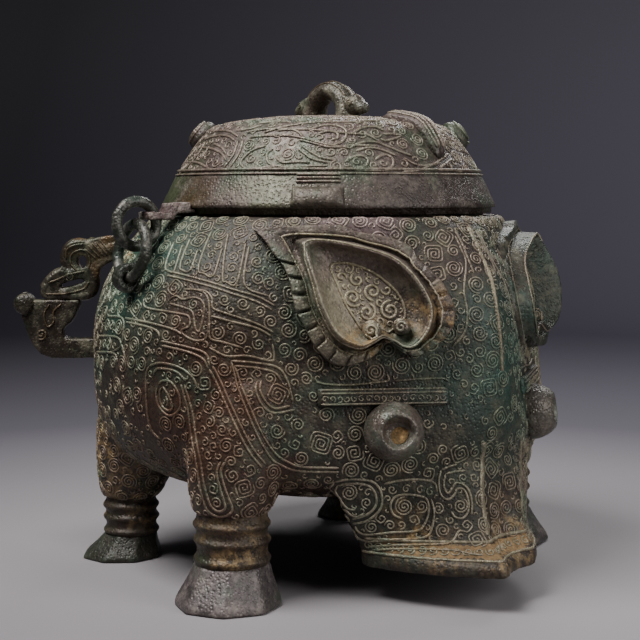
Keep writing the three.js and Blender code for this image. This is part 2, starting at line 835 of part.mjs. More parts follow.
// A knot on the dome's shoulder.
function makeLidKnot(azimuth) {
  const { point, normal } = domeFrame(0.52, azimuth);
  const knot = new THREE.SphereGeometry(knotRadius, 14, 10);
  knot.scale(1, 1, 0.55);
  knot.applyQuaternion(new THREE.Quaternion().setFromUnitVectors(new THREE.Vector3(0, 0, 1), normal));
  return cut(knot.translate(point.x, point.y, point.z), lidCutter);
}

// The arch over the lid's middle, its feet running on into the lid.
function makeKnobBlock(extra = 0) {
  const shape = new THREE.Shape();
  const outer = knobRadius + extra;
  const inner = knobOpening - extra;
  const foot = lidTop - 2 * lidWall;
  shape.moveTo(outer, foot);
  shape.absarc(0, lidTop, outer, 0, Math.PI, false);
  shape.lineTo(-outer, foot);
  shape.lineTo(-inner, foot);
  shape.absarc(0, lidTop, inner, Math.PI, 0, true);
  shape.lineTo(inner, foot);
  return radialPlate(shape, knobThickness + 2 * extra, 0).translate(knobShift, 0, 0);
}

// A small head that looks away from the arch along the ridge line.
function makeKnobHead(direction) {
  const head = new THREE.SphereGeometry(1, 16, 12);
  head.scale(knobHeadLength, knobHeadRadius, knobHeadRadius);
  head.translate(knobShift + direction * knobRadius, 0, lidTop + knobHeadRadius * 0.75);
  return cut(head, makeKnobBlock(seatGap), lidCutter);
}

function mesh(name, geometry, finish = patina) {
  const body = new THREE.Mesh(geometry, new THREE.MeshStandardMaterial({ ...finish, flatShading: true }));
  body.name = name;
  return body;
}

const vessel = new THREE.Group();
vessel.add(mesh("bowl", makeBowl()));
vessel.add(mesh("muzzle", makeMuzzle()));

for (const [side, name] of [
  [-1, "right"],
  [1, "left"],
]) {
  const facing = (geometry) => (side < 0 ? geometry : mirrored(geometry));
  const eye = cut(facing(makeEye()), bowlCutter);
  const brow = cut(facing(makeBrow()), bowlCutter, facing(makeEye(seatGap)));
  vessel.add(mesh(`ear_${name}`, cut(facing(makeEar()), bowlCutter), purplePatina));
  vessel.add(mesh(`eye_${name}`, eye, greenPatina));
  vessel.add(mesh(`brow_${name}`, brow));
  for (const [leg, place] of [
    [frontLeg, "front"],
    [hindLeg, "hind"],
  ]) {
    vessel.add(mesh(`haunch_${place}_${name}`, makeHaunch(leg, side)));
    vessel.add(mesh(`ankle_${place}_${name}`, makeAnkle(leg, side)));
    vessel.add(mesh(`hoof_${place}_${name}`, makeHoof(leg, side), purplePatina));
  }
}

vessel.add(mesh("handle_loop", makeHandleLoop(), greenPatina));
vessel.add(mesh("handle_head", makeHandleHead(), greenPatina));
vessel.add(mesh("handle_curl", makeHandleCurl(), greenPatina));
vessel.add(mesh("chain_lug", makeEyelet()));
vessel.add(mesh("ring_lower", makeLowerRing()));
vessel.add(mesh("ring_upper", makeUpperRing()));

vessel.add(mesh("lid", makeLid(), purplePatina));
vessel.add(mesh("lid_lug", makeLidLug(), greenPatina));
vessel.add(mesh("lid_tab", makeLidTab()));
vessel.add(mesh("lid_snout", makeLidSnout(), purplePatina));
vessel.add(mesh("lid_knot_front", makeLidKnot(knotAzimuth)));
vessel.add(mesh("lid_knot_rear", makeLidKnot(knotAzimuth + Math.PI)));
vessel.add(mesh("knob_arch", cut(makeKnobBlock(), lidCutter), greenPatina));
vessel.add(mesh("knob_head_front", makeKnobHead(1), greenPatina));
vessel.add(mesh("knob_head_rear", makeKnobHead(-1), greenPatina));

export default vessel;
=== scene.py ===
import math
import random

import bmesh
import bpy
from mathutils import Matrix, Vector, kdtree, noise
from mathutils.bvhtree import BVHTree


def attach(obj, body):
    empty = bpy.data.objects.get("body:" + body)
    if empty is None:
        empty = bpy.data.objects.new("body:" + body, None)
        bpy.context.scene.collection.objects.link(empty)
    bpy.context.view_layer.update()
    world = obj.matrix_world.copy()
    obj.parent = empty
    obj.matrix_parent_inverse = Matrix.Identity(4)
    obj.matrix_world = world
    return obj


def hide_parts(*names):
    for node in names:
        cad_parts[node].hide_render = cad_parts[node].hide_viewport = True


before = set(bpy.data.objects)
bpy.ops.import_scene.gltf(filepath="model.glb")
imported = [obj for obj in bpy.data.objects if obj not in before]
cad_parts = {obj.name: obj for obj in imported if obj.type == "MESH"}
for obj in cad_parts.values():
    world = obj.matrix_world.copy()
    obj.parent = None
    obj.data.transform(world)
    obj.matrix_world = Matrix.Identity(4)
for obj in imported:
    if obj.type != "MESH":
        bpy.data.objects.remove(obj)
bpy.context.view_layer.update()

# Camera
# The vessel is seen from its right front, a little above the rim, with a long lens on a tripod.
# Sizes are millimetres; the frame's own unit is the metre.
MM = 0.001
VIEW_TURN = math.radians(-42)
VIEW_DISTANCE = 901
EYE_HEIGHT = 216
AXIS_OFFSET = 5.4
PITCH = math.radians(4.73)
FOCAL_PIXELS = 1510
FRAME_PIXELS = 640
SENSOR_WIDTH = 36

towards_camera = Vector((math.cos(VIEW_TURN), math.sin(VIEW_TURN), 0))
picture_right = Vector((-math.sin(VIEW_TURN), math.cos(VIEW_TURN), 0))
up = Vector((0, 0, 1))
eye = towards_camera * VIEW_DISTANCE - picture_right * AXIS_OFFSET + up * EYE_HEIGHT
looking = -towards_camera * math.cos(PITCH) - up * math.sin(PITCH)
picture_up = picture_right.cross(looking).normalized()


def place_object(name, data):
    """Puts a mesh, a lamp or a camera into the scene."""
    made = bpy.data.objects.new(name, data)
    bpy.context.scene.collection.objects.link(made)
    return made


def aim(made, place, direction):
    """Stands a lamp or the camera at a place and turns it to a direction."""
    made.location = place * MM
    made.rotation_mode = "QUATERNION"
    made.rotation_quaternion = direction.to_track_quat("-Z", "Y")


def pixel_ray(x, y):
    """Direction from the eye through a pixel of the 640 by 640 picture."""
    across = (x - FRAME_PIXELS / 2) / FOCAL_PIXELS
    down = (y - FRAME_PIXELS / 2) / FOCAL_PIXELS
    return (looking + picture_right * across - picture_up * down).normalized()


camera = place_object("camera", bpy.data.cameras.new("camera"))
camera.data.sensor_width = SENSOR_WIDTH
camera.data.lens = FOCAL_PIXELS / FRAME_PIXELS * SENSOR_WIDTH
camera.data.clip_start = 0.05
aim(camera, eye, looking)
bpy.context.scene.camera = camera

# Floor and light
# A pale matt sweep of paper that rises into a dark room, lit by one large soft box overhead and a
# little to the left, with a weak one from the right and a narrow strip behind for the lid's edge.
FLOOR_REACH = 1500
SWEEP = 600
SWEEP_TOP = 2600
SWEEP_STEPS = 12
# The paper is pale under the vessel and painted darker further off as painted shade. ROOM_GLOW is
# also the room's own light.
FLOOR_PALE = "#8c8789"
FLOOR_FAR_PAINTED_SHADE = "#57545b"
PAINTED_ROOM_SHADE = "#2d2c32"
ROOM_GLOW = "#85808e"
ROOM_STRENGTH = 0.72
LIT_HEIGHT = 130
VECTOR = "ShaderNodeVectorMath"


def linear(code):
    """An sRGB hex colour as linear red, green, blue and alpha."""
    channels = [int(code[i : i + 2], 16) / 255 for i in (1, 3, 5)]
    return [c / 12.92 if c <= 0.04045 else ((c + 0.055) / 1.055) ** 2.4 for c in channels] + [1.0]


def feed(tree, made, inputs):
    """Sets a node's inputs, each from another node's socket or a plain value."""
    for key, value in inputs.items():
        if isinstance(value, bpy.types.NodeSocket):
            tree.links.new(value, made.inputs[key])
        else:
            made.inputs[key].default_value = value


def node(tree, kind, inputs=None, **settings):
    """Adds a node; settings name its properties or its sockets, inputs feed its sockets."""
    made = tree.nodes.new(kind)
    for key, value in settings.items():
        if hasattr(made, key):
            setattr(made, key, value)
        else:
            made.inputs[key].default_value = value
    feed(tree, made, inputs or {})
    return made


def sums(tree, operation, *values, kind="ShaderNodeMath"):
    """The result of one operation on numbers, or on vectors."""
    made = node(tree, kind, dict(enumerate(values)), operation=operation)
    return made.outputs["Vector" if kind == VECTOR and operation != "DISTANCE" else "Value"]


def new_material(name):
    """An empty node material with its tree, surface shader and place on the object."""
    made = bpy.data.materials.new(name)
    made.use_nodes = True
    tree = made.node_tree
    place = node(tree, "ShaderNodeTexCoord").outputs["Object"]
    return made, tree, tree.nodes["Principled BSDF"], place


def ramp(tree, source, *stops):
    """A colour ramp through (position, hex colour or grey number) stops."""
    made = node(tree, "ShaderNodeValToRGB", {"Fac": source})
    band = made.color_ramp
    while len(band.elements) < len(stops):
        band.elements.new(0.5)
    for element, (position, value) in zip(band.elements, stops):
        element.position = position
        element.color = linear(value) if isinstance(value, str) else (value, value, value, 1)
    return made.outputs["Color"]


def blend(tree, share, first, second, mode="MIX"):
    """Mixes two colours, each a socket or a hex code."""
    first, second = (linear(c) if isinstance(c, str) else c for c in (first, second))
    inputs = {0: share, 6: first, 7: second}
    return node(tree, "ShaderNodeMix", inputs, data_type="RGBA", blend_type=mode).outputs[2]


def near(tree, place, centre, radius, softness=0.7):
    """1 close to a point, in millimetres, falling softly to 0 at the radius."""
    away = sums(tree, "DISTANCE", place, Vector(centre) * MM, kind=VECTOR)
    return ramp(tree, sums(tree, "DIVIDE", away, radius * MM), (1 - softness, 1.0), (1, 0.0))


def around(count):
    """Evenly spaced angles round a full turn."""
    return [2 * math.pi * i / count for i in range(count)]


def steps(count):
    """Evenly spaced shares from 0 to 1."""
    return [i / count for i in range(count + 1)]


def polar(phi, radius, z):
    return Vector((radius * math.cos(phi), radius * math.sin(phi), z))


def bands(rings, closed=False):
    """Faces between neighbouring rings whose points are numbered ring by ring."""
    count = len(rings[0])
    faces = []
    for i in range(len(rings) - (not closed)):
        low, high = i * count, (i + 1) % len(rings) * count
        for j in range(count):
            k = (j + 1) % count
            faces.append((low + j, low + k, high + k, high + j))
    return faces


def new_object(name, points, faces):
    """A smooth mesh object from millimetre points."""
    mesh = bpy.data.meshes.new(name)
    mesh.from_pydata([p * MM for p in points], [], faces)
    mesh.validate()
    mesh.polygons.foreach_set("use_smooth", [True] * len(mesh.polygons))
    return place_object(name, mesh)


# The paper's colour is painted shade: it darkens away from the vessel where the soft boxes' light
# falls off into the dark room, with a painted glow towards the right rear.
paper, tree, shader, place = new_material("matt studio paper")
middle = near(tree, place, (0, 0, 0), 560, 0.75)
painted_falloff = near(tree, place, (0, 0, 0), FLOOR_REACH, 0.7)
backdrop = picture_right * 1200 - towards_camera * 1600 + up * 200
painted_glow = near(tree, place, backdrop, 1800, 0.9)
far_painted_shade = blend(tree, painted_falloff, blend(tree, painted_glow, PAINTED_ROOM_SHADE, ROOM_GLOW), FLOOR_FAR_PAINTED_SHADE)
feed(tree, shader, {"Base Color": blend(tree, middle, far_painted_shade, FLOOR_PALE), "Roughness": 0.7})

sweep_line = [(300, 0), (600, 0), (FLOOR_REACH, 0)]
for share in steps(SWEEP_STEPS)[1:]:
    turn = math.pi / 2 * share
    sweep_line.append((FLOOR_REACH + SWEEP * math.sin(turn), SWEEP * (1 - math.cos(turn))))
sweep_line.append((FLOOR_REACH + SWEEP, SWEEP_TOP))
rings = [[polar(-a, r, z) for a in around(96)] for r, z in sweep_line]
floor = new_object("floor", sum(rings, []), [tuple(range(95, -1, -1))] + bands(rings))
floor.data.materials.append(paper)

room = bpy.data.worlds.new("room")
room.use_nodes = True
glare = room.node_tree.nodes["Background"]
feed(room.node_tree, glare, {"Color": linear(ROOM_GLOW), "Strength": ROOM_STRENGTH})
bpy.context.scene.world = room


def soft_box(name, place, width, height, watts):
    """A rectangular area light aimed at the belly."""
    lamp = place_object(name, bpy.data.lights.new(name, "AREA"))
    lamp.data.shape = "RECTANGLE"
    lamp.data.size, lamp.data.size_y = width * MM, height * MM
    lamp.data.energy = watts
    aim(lamp, place, up * LIT_HEIGHT - place)


soft_box("key", -picture_right * 420 + towards_camera * 330 + up * 1060, 620, 480, 20)
soft_box("fill", picture_right * 800 + towards_camera * 620 + up * 520, 500, 700, 7)
soft_box("edge", picture_right * 350 - towards_camera * 700 + up * 800, 700, 200, 6)

# Casting
# Belly, cheeks, muzzle and haunches are one piece-mould casting of leaded bronze, about 5 mm thick,
# so they run into each other with soft roots. Burial has left a patina of dark olive oxides with
# purple cuprite and grey-green malachite over it, so little bare metal shows and the gloss is low.
BELLY_RADIUS = 140
BELLY_HEIGHT = 128
UNDERSIDE = 46
RIM_RADIUS = 103
RIM_HEIGHT = 205
WALL = 5
LIP_WIDTH = 9
LIP_DEPTH = 6
SHOULDER_POWER = 2.25
BOTTOM_POWER = 3.5
CHEEK_ANGLE = math.radians(34)
RIDGE_REACH = 139.5
RIDGE_HEIGHT = 136
RIDGE_LEAN = 30
RIDGE_TUCK = 3
RIDGE_HALF_WIDTH = 5
NOSE_HALF_WIDTH = 16
NOSE_SPREAD = 60
FUSE_VOXEL = 2.45
EARTH_OCHRE = "#a5885c"
METAL_SHARE = 0.35


def grain(tree, place, size, detail=3.0, roughness=0.6):
    """Noise whose lumps are about this many millimetres across."""
    scale = 0.55 / (size * MM)
    settings = dict(Scale=scale, Detail=detail, Roughness=roughness)
    return node(tree, "ShaderNodeTexNoise", {"Vector": place}, **settings).outputs["Fac"]


def bronze(name, first, second, growth, pale, patches=(), earths=(), pale_level=0.6, gloss=0.5):
    """Buried bronze: two oxides in broad clouds, a mineral growth and pale rubbed flecks on them.
    Patches are (hex colour, centre, radius) in millimetres, where one colour gathers on the
    vessel, and earths are (centre, radius) where dry earth still clings in crumbs."""
    made, tree, shader, place = new_material(name)
    tint = ramp(tree, grain(tree, place, 38, 4), (0.42, first), (0.6, second))
    cloud = node(tree, "ShaderNodeTexNoise", {"Vector": place}, Scale=28.0, Detail=3.0)
    push = [0.08] * 3, [-0.04] * 3
    shift = sums(tree, "MULTIPLY_ADD", cloud.outputs["Color"], *push, kind=VECTOR)
    warped = sums(tree, "ADD", place, shift, kind=VECTOR)
    for colour, centre, radius in patches:
        tint = blend(tree, near(tree, warped, centre, radius, 0.8), tint, colour)
    cover = ramp(tree, grain(tree, place, 20, 5, 0.68), (0.51, 0.0), (0.65, 0.85))
    tint = blend(tree, cover, tint, growth)
    mottle = grain(tree, place, 6, 5, 0.7)
    fleck = ramp(tree, mottle, (pale_level - 0.09, 0.0), (pale_level + 0.16, 0.75))
    tint = blend(tree, fleck, tint, pale)
    crumbs = ramp(tree, grain(tree, place, 3.2, 4, 0.7), (0.44, 0.0), (0.6, 0.9))
    for centre, radius in earths:
        share = sums(tree, "MULTIPLY", crumbs, near(tree, warped, centre, radius))
        tint = blend(tree, share, tint, EARTH_OCHRE)
    speck = ramp(tree, grain(tree, place, 1.3), (0.3, 0.5), (0.62, 1.0))
    pits = node(tree, "ShaderNodeTexVoronoi", {"Vector": place}, Scale=520.0)
    hollow = ramp(tree, pits.outputs["Distance"], (0.12, 0.0), (0.5, 1.0))
    height = sums(tree, "ADD", grain(tree, place, 1.1, 4, 0.7), hollow)
    bump = node(tree, "ShaderNodeBump", {"Height": height}, Distance=0.00035, Strength=0.7)
    feed(tree, shader, {
        "Base Color": blend(tree, 1.0, tint, speck, "MULTIPLY"),
        "Roughness": ramp(tree, mottle, (0.35, gloss - 0.08), (0.65, gloss + 0.16)),
        "Metallic": METAL_SHARE,
        "Normal": bump.outputs[0],
    })
    return made


# Where each tint gathers, as a centre and a radius: green on the shoulder, brown on the flank,
# green on the face, dark on the muzzle and rose on the brow.
TINT_PLACES = (
    ((-25, -128, 180), 62), ((40, -125, 95), 80), ((132, 10, 120), 62), ((120, -60, 50), 60),
    ((85, -62, 200), 40),
)
# Earth clings to the lip, the jaw, the near hind leg and the shoulder.
body_earths = (
    ((158, -6, 40), 34), ((126, -50, 36), 26), ((-78, -105, 75), 40), ((-40, -122, 176), 22),
)


def tinted(*colours):
    return [(colour, *place) for colour, place in zip(colours, TINT_PLACES)]


body_tints = tinted("#38574b", "#4a3325", "#2b4a40", "#2c2a22", "#6d5b59")
body_bronze = bronze(
    "buried bronze body", "#2f2d24", "#3a2f29", "#3b4438", "#6b6552", body_tints, body_earths
)
earthy_bronze = bronze(
    "earth-filled bronze", "#5f4c33", "#8f7450", "#4d4534", "#b8976b", gloss=0.75
)


def soft_min(a, b, width):
    close = max(width - abs(a - b), 0) / width
    return min(a, b) - close * close * width / 4


def mix(a, b, share):
    return a + (b - a) * share


def smooth_step(low, high, x):
    t = min(1, max(0, (x - low) / (high - low)))
    return t * t * (3 - 2 * t)


def round_radius(z):
    """Radius of the round belly at a height."""
    if z >= BELLY_HEIGHT:
        rise = min(1, (z - BELLY_HEIGHT) / (RIM_HEIGHT - BELLY_HEIGHT))
        return BELLY_RADIUS - (BELLY_RADIUS - RIM_RADIUS) * rise**SHOULDER_POWER
    fall = min(1, (BELLY_HEIGHT - z) / (BELLY_HEIGHT - UNDERSIDE))
    return BELLY_RADIUS * (1 - fall**BOTTOM_POWER) ** (1 / BOTTOM_POWER)


def skin_radius(phi, z, belly=None):
    """Radius of the outside: the round belly cut by two cheek planes and the ridge between them."""
    above = max(0, (z - RIDGE_HEIGHT) / (RIM_HEIGHT - RIDGE_HEIGHT))
    below = max(0, (RIDGE_HEIGHT - z) / (RIDGE_HEIGHT - UNDERSIDE))
    ridge = RIDGE_REACH - RIDGE_LEAN * above**2 - RIDGE_TUCK * below**2
    narrowing = smooth_step(RIDGE_HEIGHT - NOSE_SPREAD, RIDGE_HEIGHT, z)
    front_half = mix(NOSE_HALF_WIDTH, RIDGE_HALF_WIDTH, narrowing)
    flat = ridge * math.cos(CHEEK_ANGLE) + front_half * math.sin(CHEEK_ANGLE)
    cheek = mix(flat, max(flat, RIM_RADIUS + 2), smooth_step(RIM_HEIGHT - 40, RIM_HEIGHT, z))
    radius = round_radius(z) if belly is None else belly
    for side in (1, -1):
        facing = math.cos(phi - side * CHEEK_ANGLE)
        if facing > 0.2:
            radius = soft_min(radius, cheek / facing, 10)
    if math.cos(phi) > 0.3:
        radius = soft_min(radius, ridge / math.cos(phi), 6)
    return radius


def skin_point(phi, z):
    return polar(phi, skin_radius(phi, z), z)


def skin_normal(phi, z):
    here = skin_point(phi, z)
    across = skin_point(phi + 0.004, z) - here
    rise = skin_point(phi, z + 0.5) - here
    return across.cross(rise).normalized()


def loft(name, rings, start, end):
    """One closed skin through rings of points in millimetres, each end drawn to a point."""
    count = len(rings[0])
    points = [p for ring in rings for p in ring] + [start, end]
    faces = bands(rings)
    last, low, high = len(points) - 2 - count, len(points) - 2, len(points) - 1
    for j in range(count):
        faces.append(((j + 1) % count, j, low))
    for j in range(count):
        faces.append((last + j, last + (j + 1) % count, high))
    return new_object(name, points, faces)


def finer(rings):
    """Puts a smoothly fitted ring between each two of a loft's rings."""
    padded = [rings[0], *rings, rings[-1]]
    denser = []
    for a, b, c, d in zip(padded, padded[1:], padded[2:], padded[3:]):
        between = [(q + r) * 0.5625 - (p + s) * 0.0625 for p, q, r, s in zip(a, b, c, d)]
        denser += [b, between]
    return denser + [rings[-1]]


def apply_modifiers(made):
    """Turns an object and its modifiers into one plain mesh."""
    depsgraph = bpy.context.evaluated_depsgraph_get()
    plain = bpy.data.meshes.new_from_object(made.evaluated_get(depsgraph))
    made.modifiers.clear()
    made.data = plain
    return made


def from_bmesh(name, shape):
    """An object from a finished bmesh, which is freed."""
    mesh = bpy.data.meshes.new(name)
    shape.to_mesh(mesh)
    shape.free()
    return place_object(name, mesh)


def merged(name, parts):
    """Several closed solids kept as one piece without joining their skins."""
    joined = bmesh.new()
    for part in parts:
        joined.from_mesh(part.data)
        bpy.data.objects.remove(part)
    return from_bmesh(name, joined)


def fuse(name, parts, voxel, smoothing):
    """Joins closed solids into one skin and relaxes it."""
    made = merged(name, parts)
    remesh = made.modifiers.new("fuse", "REMESH")
    remesh.mode = "VOXEL"
    remesh.voxel_size = voxel * MM
    relax = made.modifiers.new("relax", "SMOOTH")
    relax.factor = 0.5
    relax.iterations = smoothing
    return apply_modifiers(made)


def weather(made, amount, lump, wear=0.0):
    """Moves the skin in and out, as corroded metal is never even, and wears it down."""
    moved = []
    for vertex in made.data.vertices:
        at = vertex.co / (lump * MM)
        swell = noise.noise(at) + 0.5 * noise.noise(at * 2.7)
        moved.append(vertex.co + vertex.normal * (swell * amount - wear) * MM)
    for vertex, co in zip(made.data.vertices, moved):
        vertex.co = co
    made.data.update()
    return made


def finish(made, body, slot, material, *nodes):
    """Dresses a piece and ties it to its body and the nodes that it stands for; its slot is not
    used.
    """
    made.data.materials.clear()
    made.data.materials.append(material)
    made.data.polygons.foreach_set("use_smooth", [True] * len(made.data.polygons))
    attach(made, body)
    if nodes:
        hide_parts(*nodes)
    return made


def bowl_profile(rows):
    """(radius, height) pairs from near the lowest point to the rim, evenly along the section."""
    fine = []
    for i in range(1, 200):
        turn = math.pi / 2 * (1 - i / 200)
        out, down = math.cos(turn) ** (2 / BOTTOM_POWER), math.sin(turn) ** (2 / BOTTOM_POWER)
        fine.append((BELLY_RADIUS * out, BELLY_HEIGHT - (BELLY_HEIGHT - UNDERSIDE) * down))
    for share in steps(200):
        z = mix(BELLY_HEIGHT, RIM_HEIGHT, share)
        fine.append((round_radius(z), z))
    lengths = [0.0]
    for (r0, z0), (r1, z1) in zip(fine, fine[1:]):
        lengths.append(lengths[-1] + math.hypot(r1 - r0, z1 - z0))
    picked = []
    at = 0
    for step in steps(rows):
        goal = lengths[-1] * step
        while at < len(fine) - 2 and lengths[at + 1] < goal:
            at += 1
        share = (goal - lengths[at]) / (lengths[at + 1] - lengths[at])
        picked.append(tuple(mix(a, b, share) for a, b in zip(fine[at], fine[at + 1])))
    return picked


turns = around(160)
outside = [[polar(a, skin_radius(a, z, r), z) for a in turns] for r, z in bowl_profile(70)]
lip_heights = (RIM_HEIGHT, RIM_HEIGHT - LIP_DEPTH)
lip = [[polar(a, RIM_RADIUS - LIP_WIDTH, z) for a in turns] for z in lip_heights]
inside = []
for r, z in reversed(bowl_profile(30)[:-1]):
    if z < BELLY_HEIGHT:
        raised = z + WALL * math.sqrt(max(0, 1 - (r / BELLY_RADIUS) ** BOTTOM_POWER))
    else:
        raised = z
    inside.append([polar(a, max(1, skin_radius(a, z, r) - WALL), raised) for a in turns])
poles = (polar(0, 0, UNDERSIDE), polar(0, 0, UNDERSIDE + WALL))
bowl = loft("bowl_shell", outside + lip + inside, *poles)

# The legs' sizes, shared by the haunches here and the ankles and hooves further down.
LEGS = {
    "front": dict(turn=66.7, inset=15.6, ankle=20, sole=27.7, toe=5, hoof=23, bead=26, haunch=34),
    "hind": dict(turn=129.6, inset=21, ankle=16, sole=23.2, toe=6, hoof=15, bead=21, haunch=36),
}
SIDES = {"right": -1, "left": 1}
LEFT_TUCK = 13
HAUNCH_LEAN = 20
HAUNCH_TOP = BELLY_HEIGHT - 10
HAUNCH_TIP = 14
FACETS = 8
FACET_SPREAD = 1.045


def leg_reach(leg, side):
    return BELLY_RADIUS - leg["inset"] - (LEFT_TUCK if side > 0 else 0)


def lathe_leg(name, leg, side, rounds, facet=0.0, columns=64, tip=None):
    """Level rounds of a leg from (shift, radius, height), partly flattened into facets."""
    turn, reach = side * math.radians(leg["turn"]), leg_reach(leg, side)
    rings = []
    for shift, radius, z in rounds:
        centre = polar(turn, reach + shift, z)
        ring = []
        for a in around(columns):
            off = (a + math.pi / FACETS) % (2 * math.pi / FACETS) - math.pi / FACETS
            flat = math.cos(math.pi / FACETS) / math.cos(off) * FACET_SPREAD
            ring.append(centre + polar(turn + a, radius * mix(1, flat, facet), 0))
        rings.append(ring)
    ends = [polar(turn, reach + shift, z) for shift, _, z in (rounds[0], tip or rounds[-1])]
    return loft(name, rings, *ends)


def haunch(leg, side):
    low = leg["hoof"] + leg["bead"] - 1
    rounds = []
    for share in steps(24):
        radius = mix(leg["ankle"] - 0.5, leg["haunch"], share**0.6)
        rounds.append((-HAUNCH_LEAN * share**1.2, radius, mix(low, HAUNCH_TOP, share)))
    tip = (-HAUNCH_LEAN - HAUNCH_TIP, 0, HAUNCH_TOP + HAUNCH_TIP)
    return lathe_leg("haunch", leg, side, rounds, 0, 48, tip)


MUZZLE_BOTTOM = 17.2
MUZZLE_TOP = 88
MUZZLE_REAR = BELLY_RADIUS - 51.5
NOSE_REACH = RIDGE_REACH - RIDGE_TUCK
LIP_REACH = RIDGE_REACH + 24.5
LIP_HALF_WIDTH = 18
LIP_SHIFT = 6
LIP_SLANT = 12
JAW_HALF_WIDTH = 61
JAW_BULGE = 7
ROOT_HALF_WIDTH = 80


def muzzle_ring(z, flare, spread, swell, inset=0, hollow=0):
    """One level of the muzzle: a nose dished between corners, bulging sides, a straight rear."""
    front = mix(NOSE_REACH - inset, LIP_REACH, flare)
    half = mix(NOSE_HALF_WIDTH, LIP_HALF_WIDTH, flare)
    rear_half = mix(JAW_HALF_WIDTH, ROOT_HALF_WIDTH, spread)
    edges = []
    for side in (1, -1):
        slant = LIP_SLANT * flare if side > 0 else 0
        corner = Vector((front - slant, side * half - LIP_SHIFT * flare))
        back = Vector((MUZZLE_REAR, side * rear_half))
        outward = Vector((rear_half - half, side * (front - MUZZLE_REAR))).normalized()
        pull = (corner + back) / 2 + outward * 2 * swell * JAW_BULGE
        edge = [corner * (1 - t) ** 2 + pull * 2 * t * (1 - t) + back * t * t for t in steps(24)]
        edges.append(edge)
    left, right = edges
    inward = Vector((-1, 0)) * hollow
    nose = [right[0].lerp(left[0], t) + inward * math.sin(math.pi * t) for t in steps(8)[:-1]]
    rear = [left[-1].lerp(right[-1], t) for t in steps(16)[1:-1]]
    return [Vector((p.x, p.y, z)) for p in nose + left + rear + right[:0:-1]]


muzzle_levels = [
    (MUZZLE_BOTTOM, 0.99, 0, 1, 0, 2),
    (MUZZLE_BOTTOM + 1, 1.03, 0, 1.05, 0, 3),
    (MUZZLE_BOTTOM + 7.5, 1, 0.01, 1.03, 0, 4),
    (MUZZLE_BOTTOM + 9.5, 0.9, 0.02, 0.95, 0, 5),
    (MUZZLE_BOTTOM + 12, 0.66, 0.06, 0.7, 0, 6),
    (34, 0.42, 0.22, 0.6, 0, 5),
    (39, 0.24, 0.42, 0.55, 0, 4),
    (45, 0.1, 0.64, 0.5, 0, 3),
    (52, 0.03, 0.84, 0.4, 0, 2),
    (60, 0, 0.96, 0.25, 1, 1),
    (70, 0, 1, 0.1, 3, 0),
    (80, 0, 1, 0, 8, 0),
    (MUZZLE_TOP, 0, 1, 0, 12, 0),
]
muzzle_middle = (MUZZLE_REAR + RIDGE_REACH) / 2
muzzle_ends = [polar(0, muzzle_middle, z) for z in (MUZZLE_BOTTOM, MUZZLE_TOP)]
muzzle = loft("muzzle", [muzzle_ring(*level) for level in muzzle_levels], *muzzle_ends)

parts = [bowl, muzzle] + [haunch(leg, side) for leg in LEGS.values() for side in SIDES.values()]
casting = weather(fuse("casting", parts, FUSE_VOXEL, 4), 0.3, 26, 0.75)
haunch_nodes = [f"haunch_{place}_{side}" for place in LEGS for side in SIDES]
finish(casting, "vessel", "dark_patina", body_bronze, "bowl", "muzzle", *haunch_nodes)

# Earth fills the hollow over the muzzle's rim, on the nose and the near jaw.
EARTHY_LOW = 27.5
EARTHY_HIGH = 33.5
casting.data.materials.append(earthy_bronze)
for face in casting.data.polygons:
    at = face.center / MM
    near_jaw = at.x > 100 and at.x + 0.35 * at.y < 150 and face.normal.x > -0.2
    if EARTHY_LOW < at.z < EARTHY_HIGH and near_jaw:
        face.material_index = 1

# Thread relief
# Fine raised threads, under a millimetre high, cover the casting: scrolls and hooks in double lines
# with small spirals packed between them. They were cut into the mould, so they follow every curve.
# Lines are laid as polylines on the skin and swept to a rounded thread by one node tree.
THREAD = 0.53
BORDER_THREAD = 0.74
SPIRAL_PITCH = 1.65
SPIRAL_SIZES = (4.4, 3.7, 3.1, 2.6, 2.15, 1.75, 1.35)
SPIRAL_GAP = 0.45
SQUARE_SIZE = 9
REAR_PLANE = math.radians(-118)
FAR_BELOW = Vector((0, 0, -1000))

rubbed_bronze = bronze(
    "rubbed thread bronze", "#77705c", "#7d6c5f", "#66745f", "#a39a80",
    tinted("#8a9a84", "#755a47", "#50675a", "#8f8874", "#a08b86"), body_earths, gloss=0.45,
)

thread_tree = bpy.data.node_groups.new("sweep threads", "GeometryNodeTree")
for name, kind, way in (
    ("Geometry", "Geometry", "INPUT"), ("Sides", "Int", "INPUT"), ("Material", "Material", "INPUT"),
    ("Geometry", "Geometry", "OUTPUT"),
):
    thread_tree.interface.new_socket(name, in_out=way, socket_type="NodeSocket" + kind)
given = node(thread_tree, "NodeGroupInput").outputs
width = node(thread_tree, "GeometryNodeInputNamedAttribute", data_type="FLOAT", Name="thread")
line = node(thread_tree, "GeometryNodeMeshToCurve", {"Mesh": given["Geometry"]})
circle = {"Resolution": given["Sides"], "Radius": 1.0}
swept = node(thread_tree, "GeometryNodeCurveToMesh", {
    "Curve": line.outputs[0],
    "Profile Curve": node(thread_tree, "GeometryNodeCurvePrimitiveCircle", circle).outputs["Curve"],
    "Scale": width.outputs["Attribute"],
    "Fill Caps": True,
})
real = node(thread_tree, "GeometryNodeRealizeInstances", {0: swept.outputs[0]})
worn = {"Geometry": real.outputs[0], "Material": given["Material"]}
dressed = node(thread_tree, "GeometryNodeSetMaterial", worn)
node(thread_tree, "NodeGroupOutput", {"Geometry": dressed.outputs[0]})
thread_sockets = thread_tree.interface.items_tree
thread_inputs = {item.name: item.identifier for item in thread_sockets if item.in_out == "INPUT"}


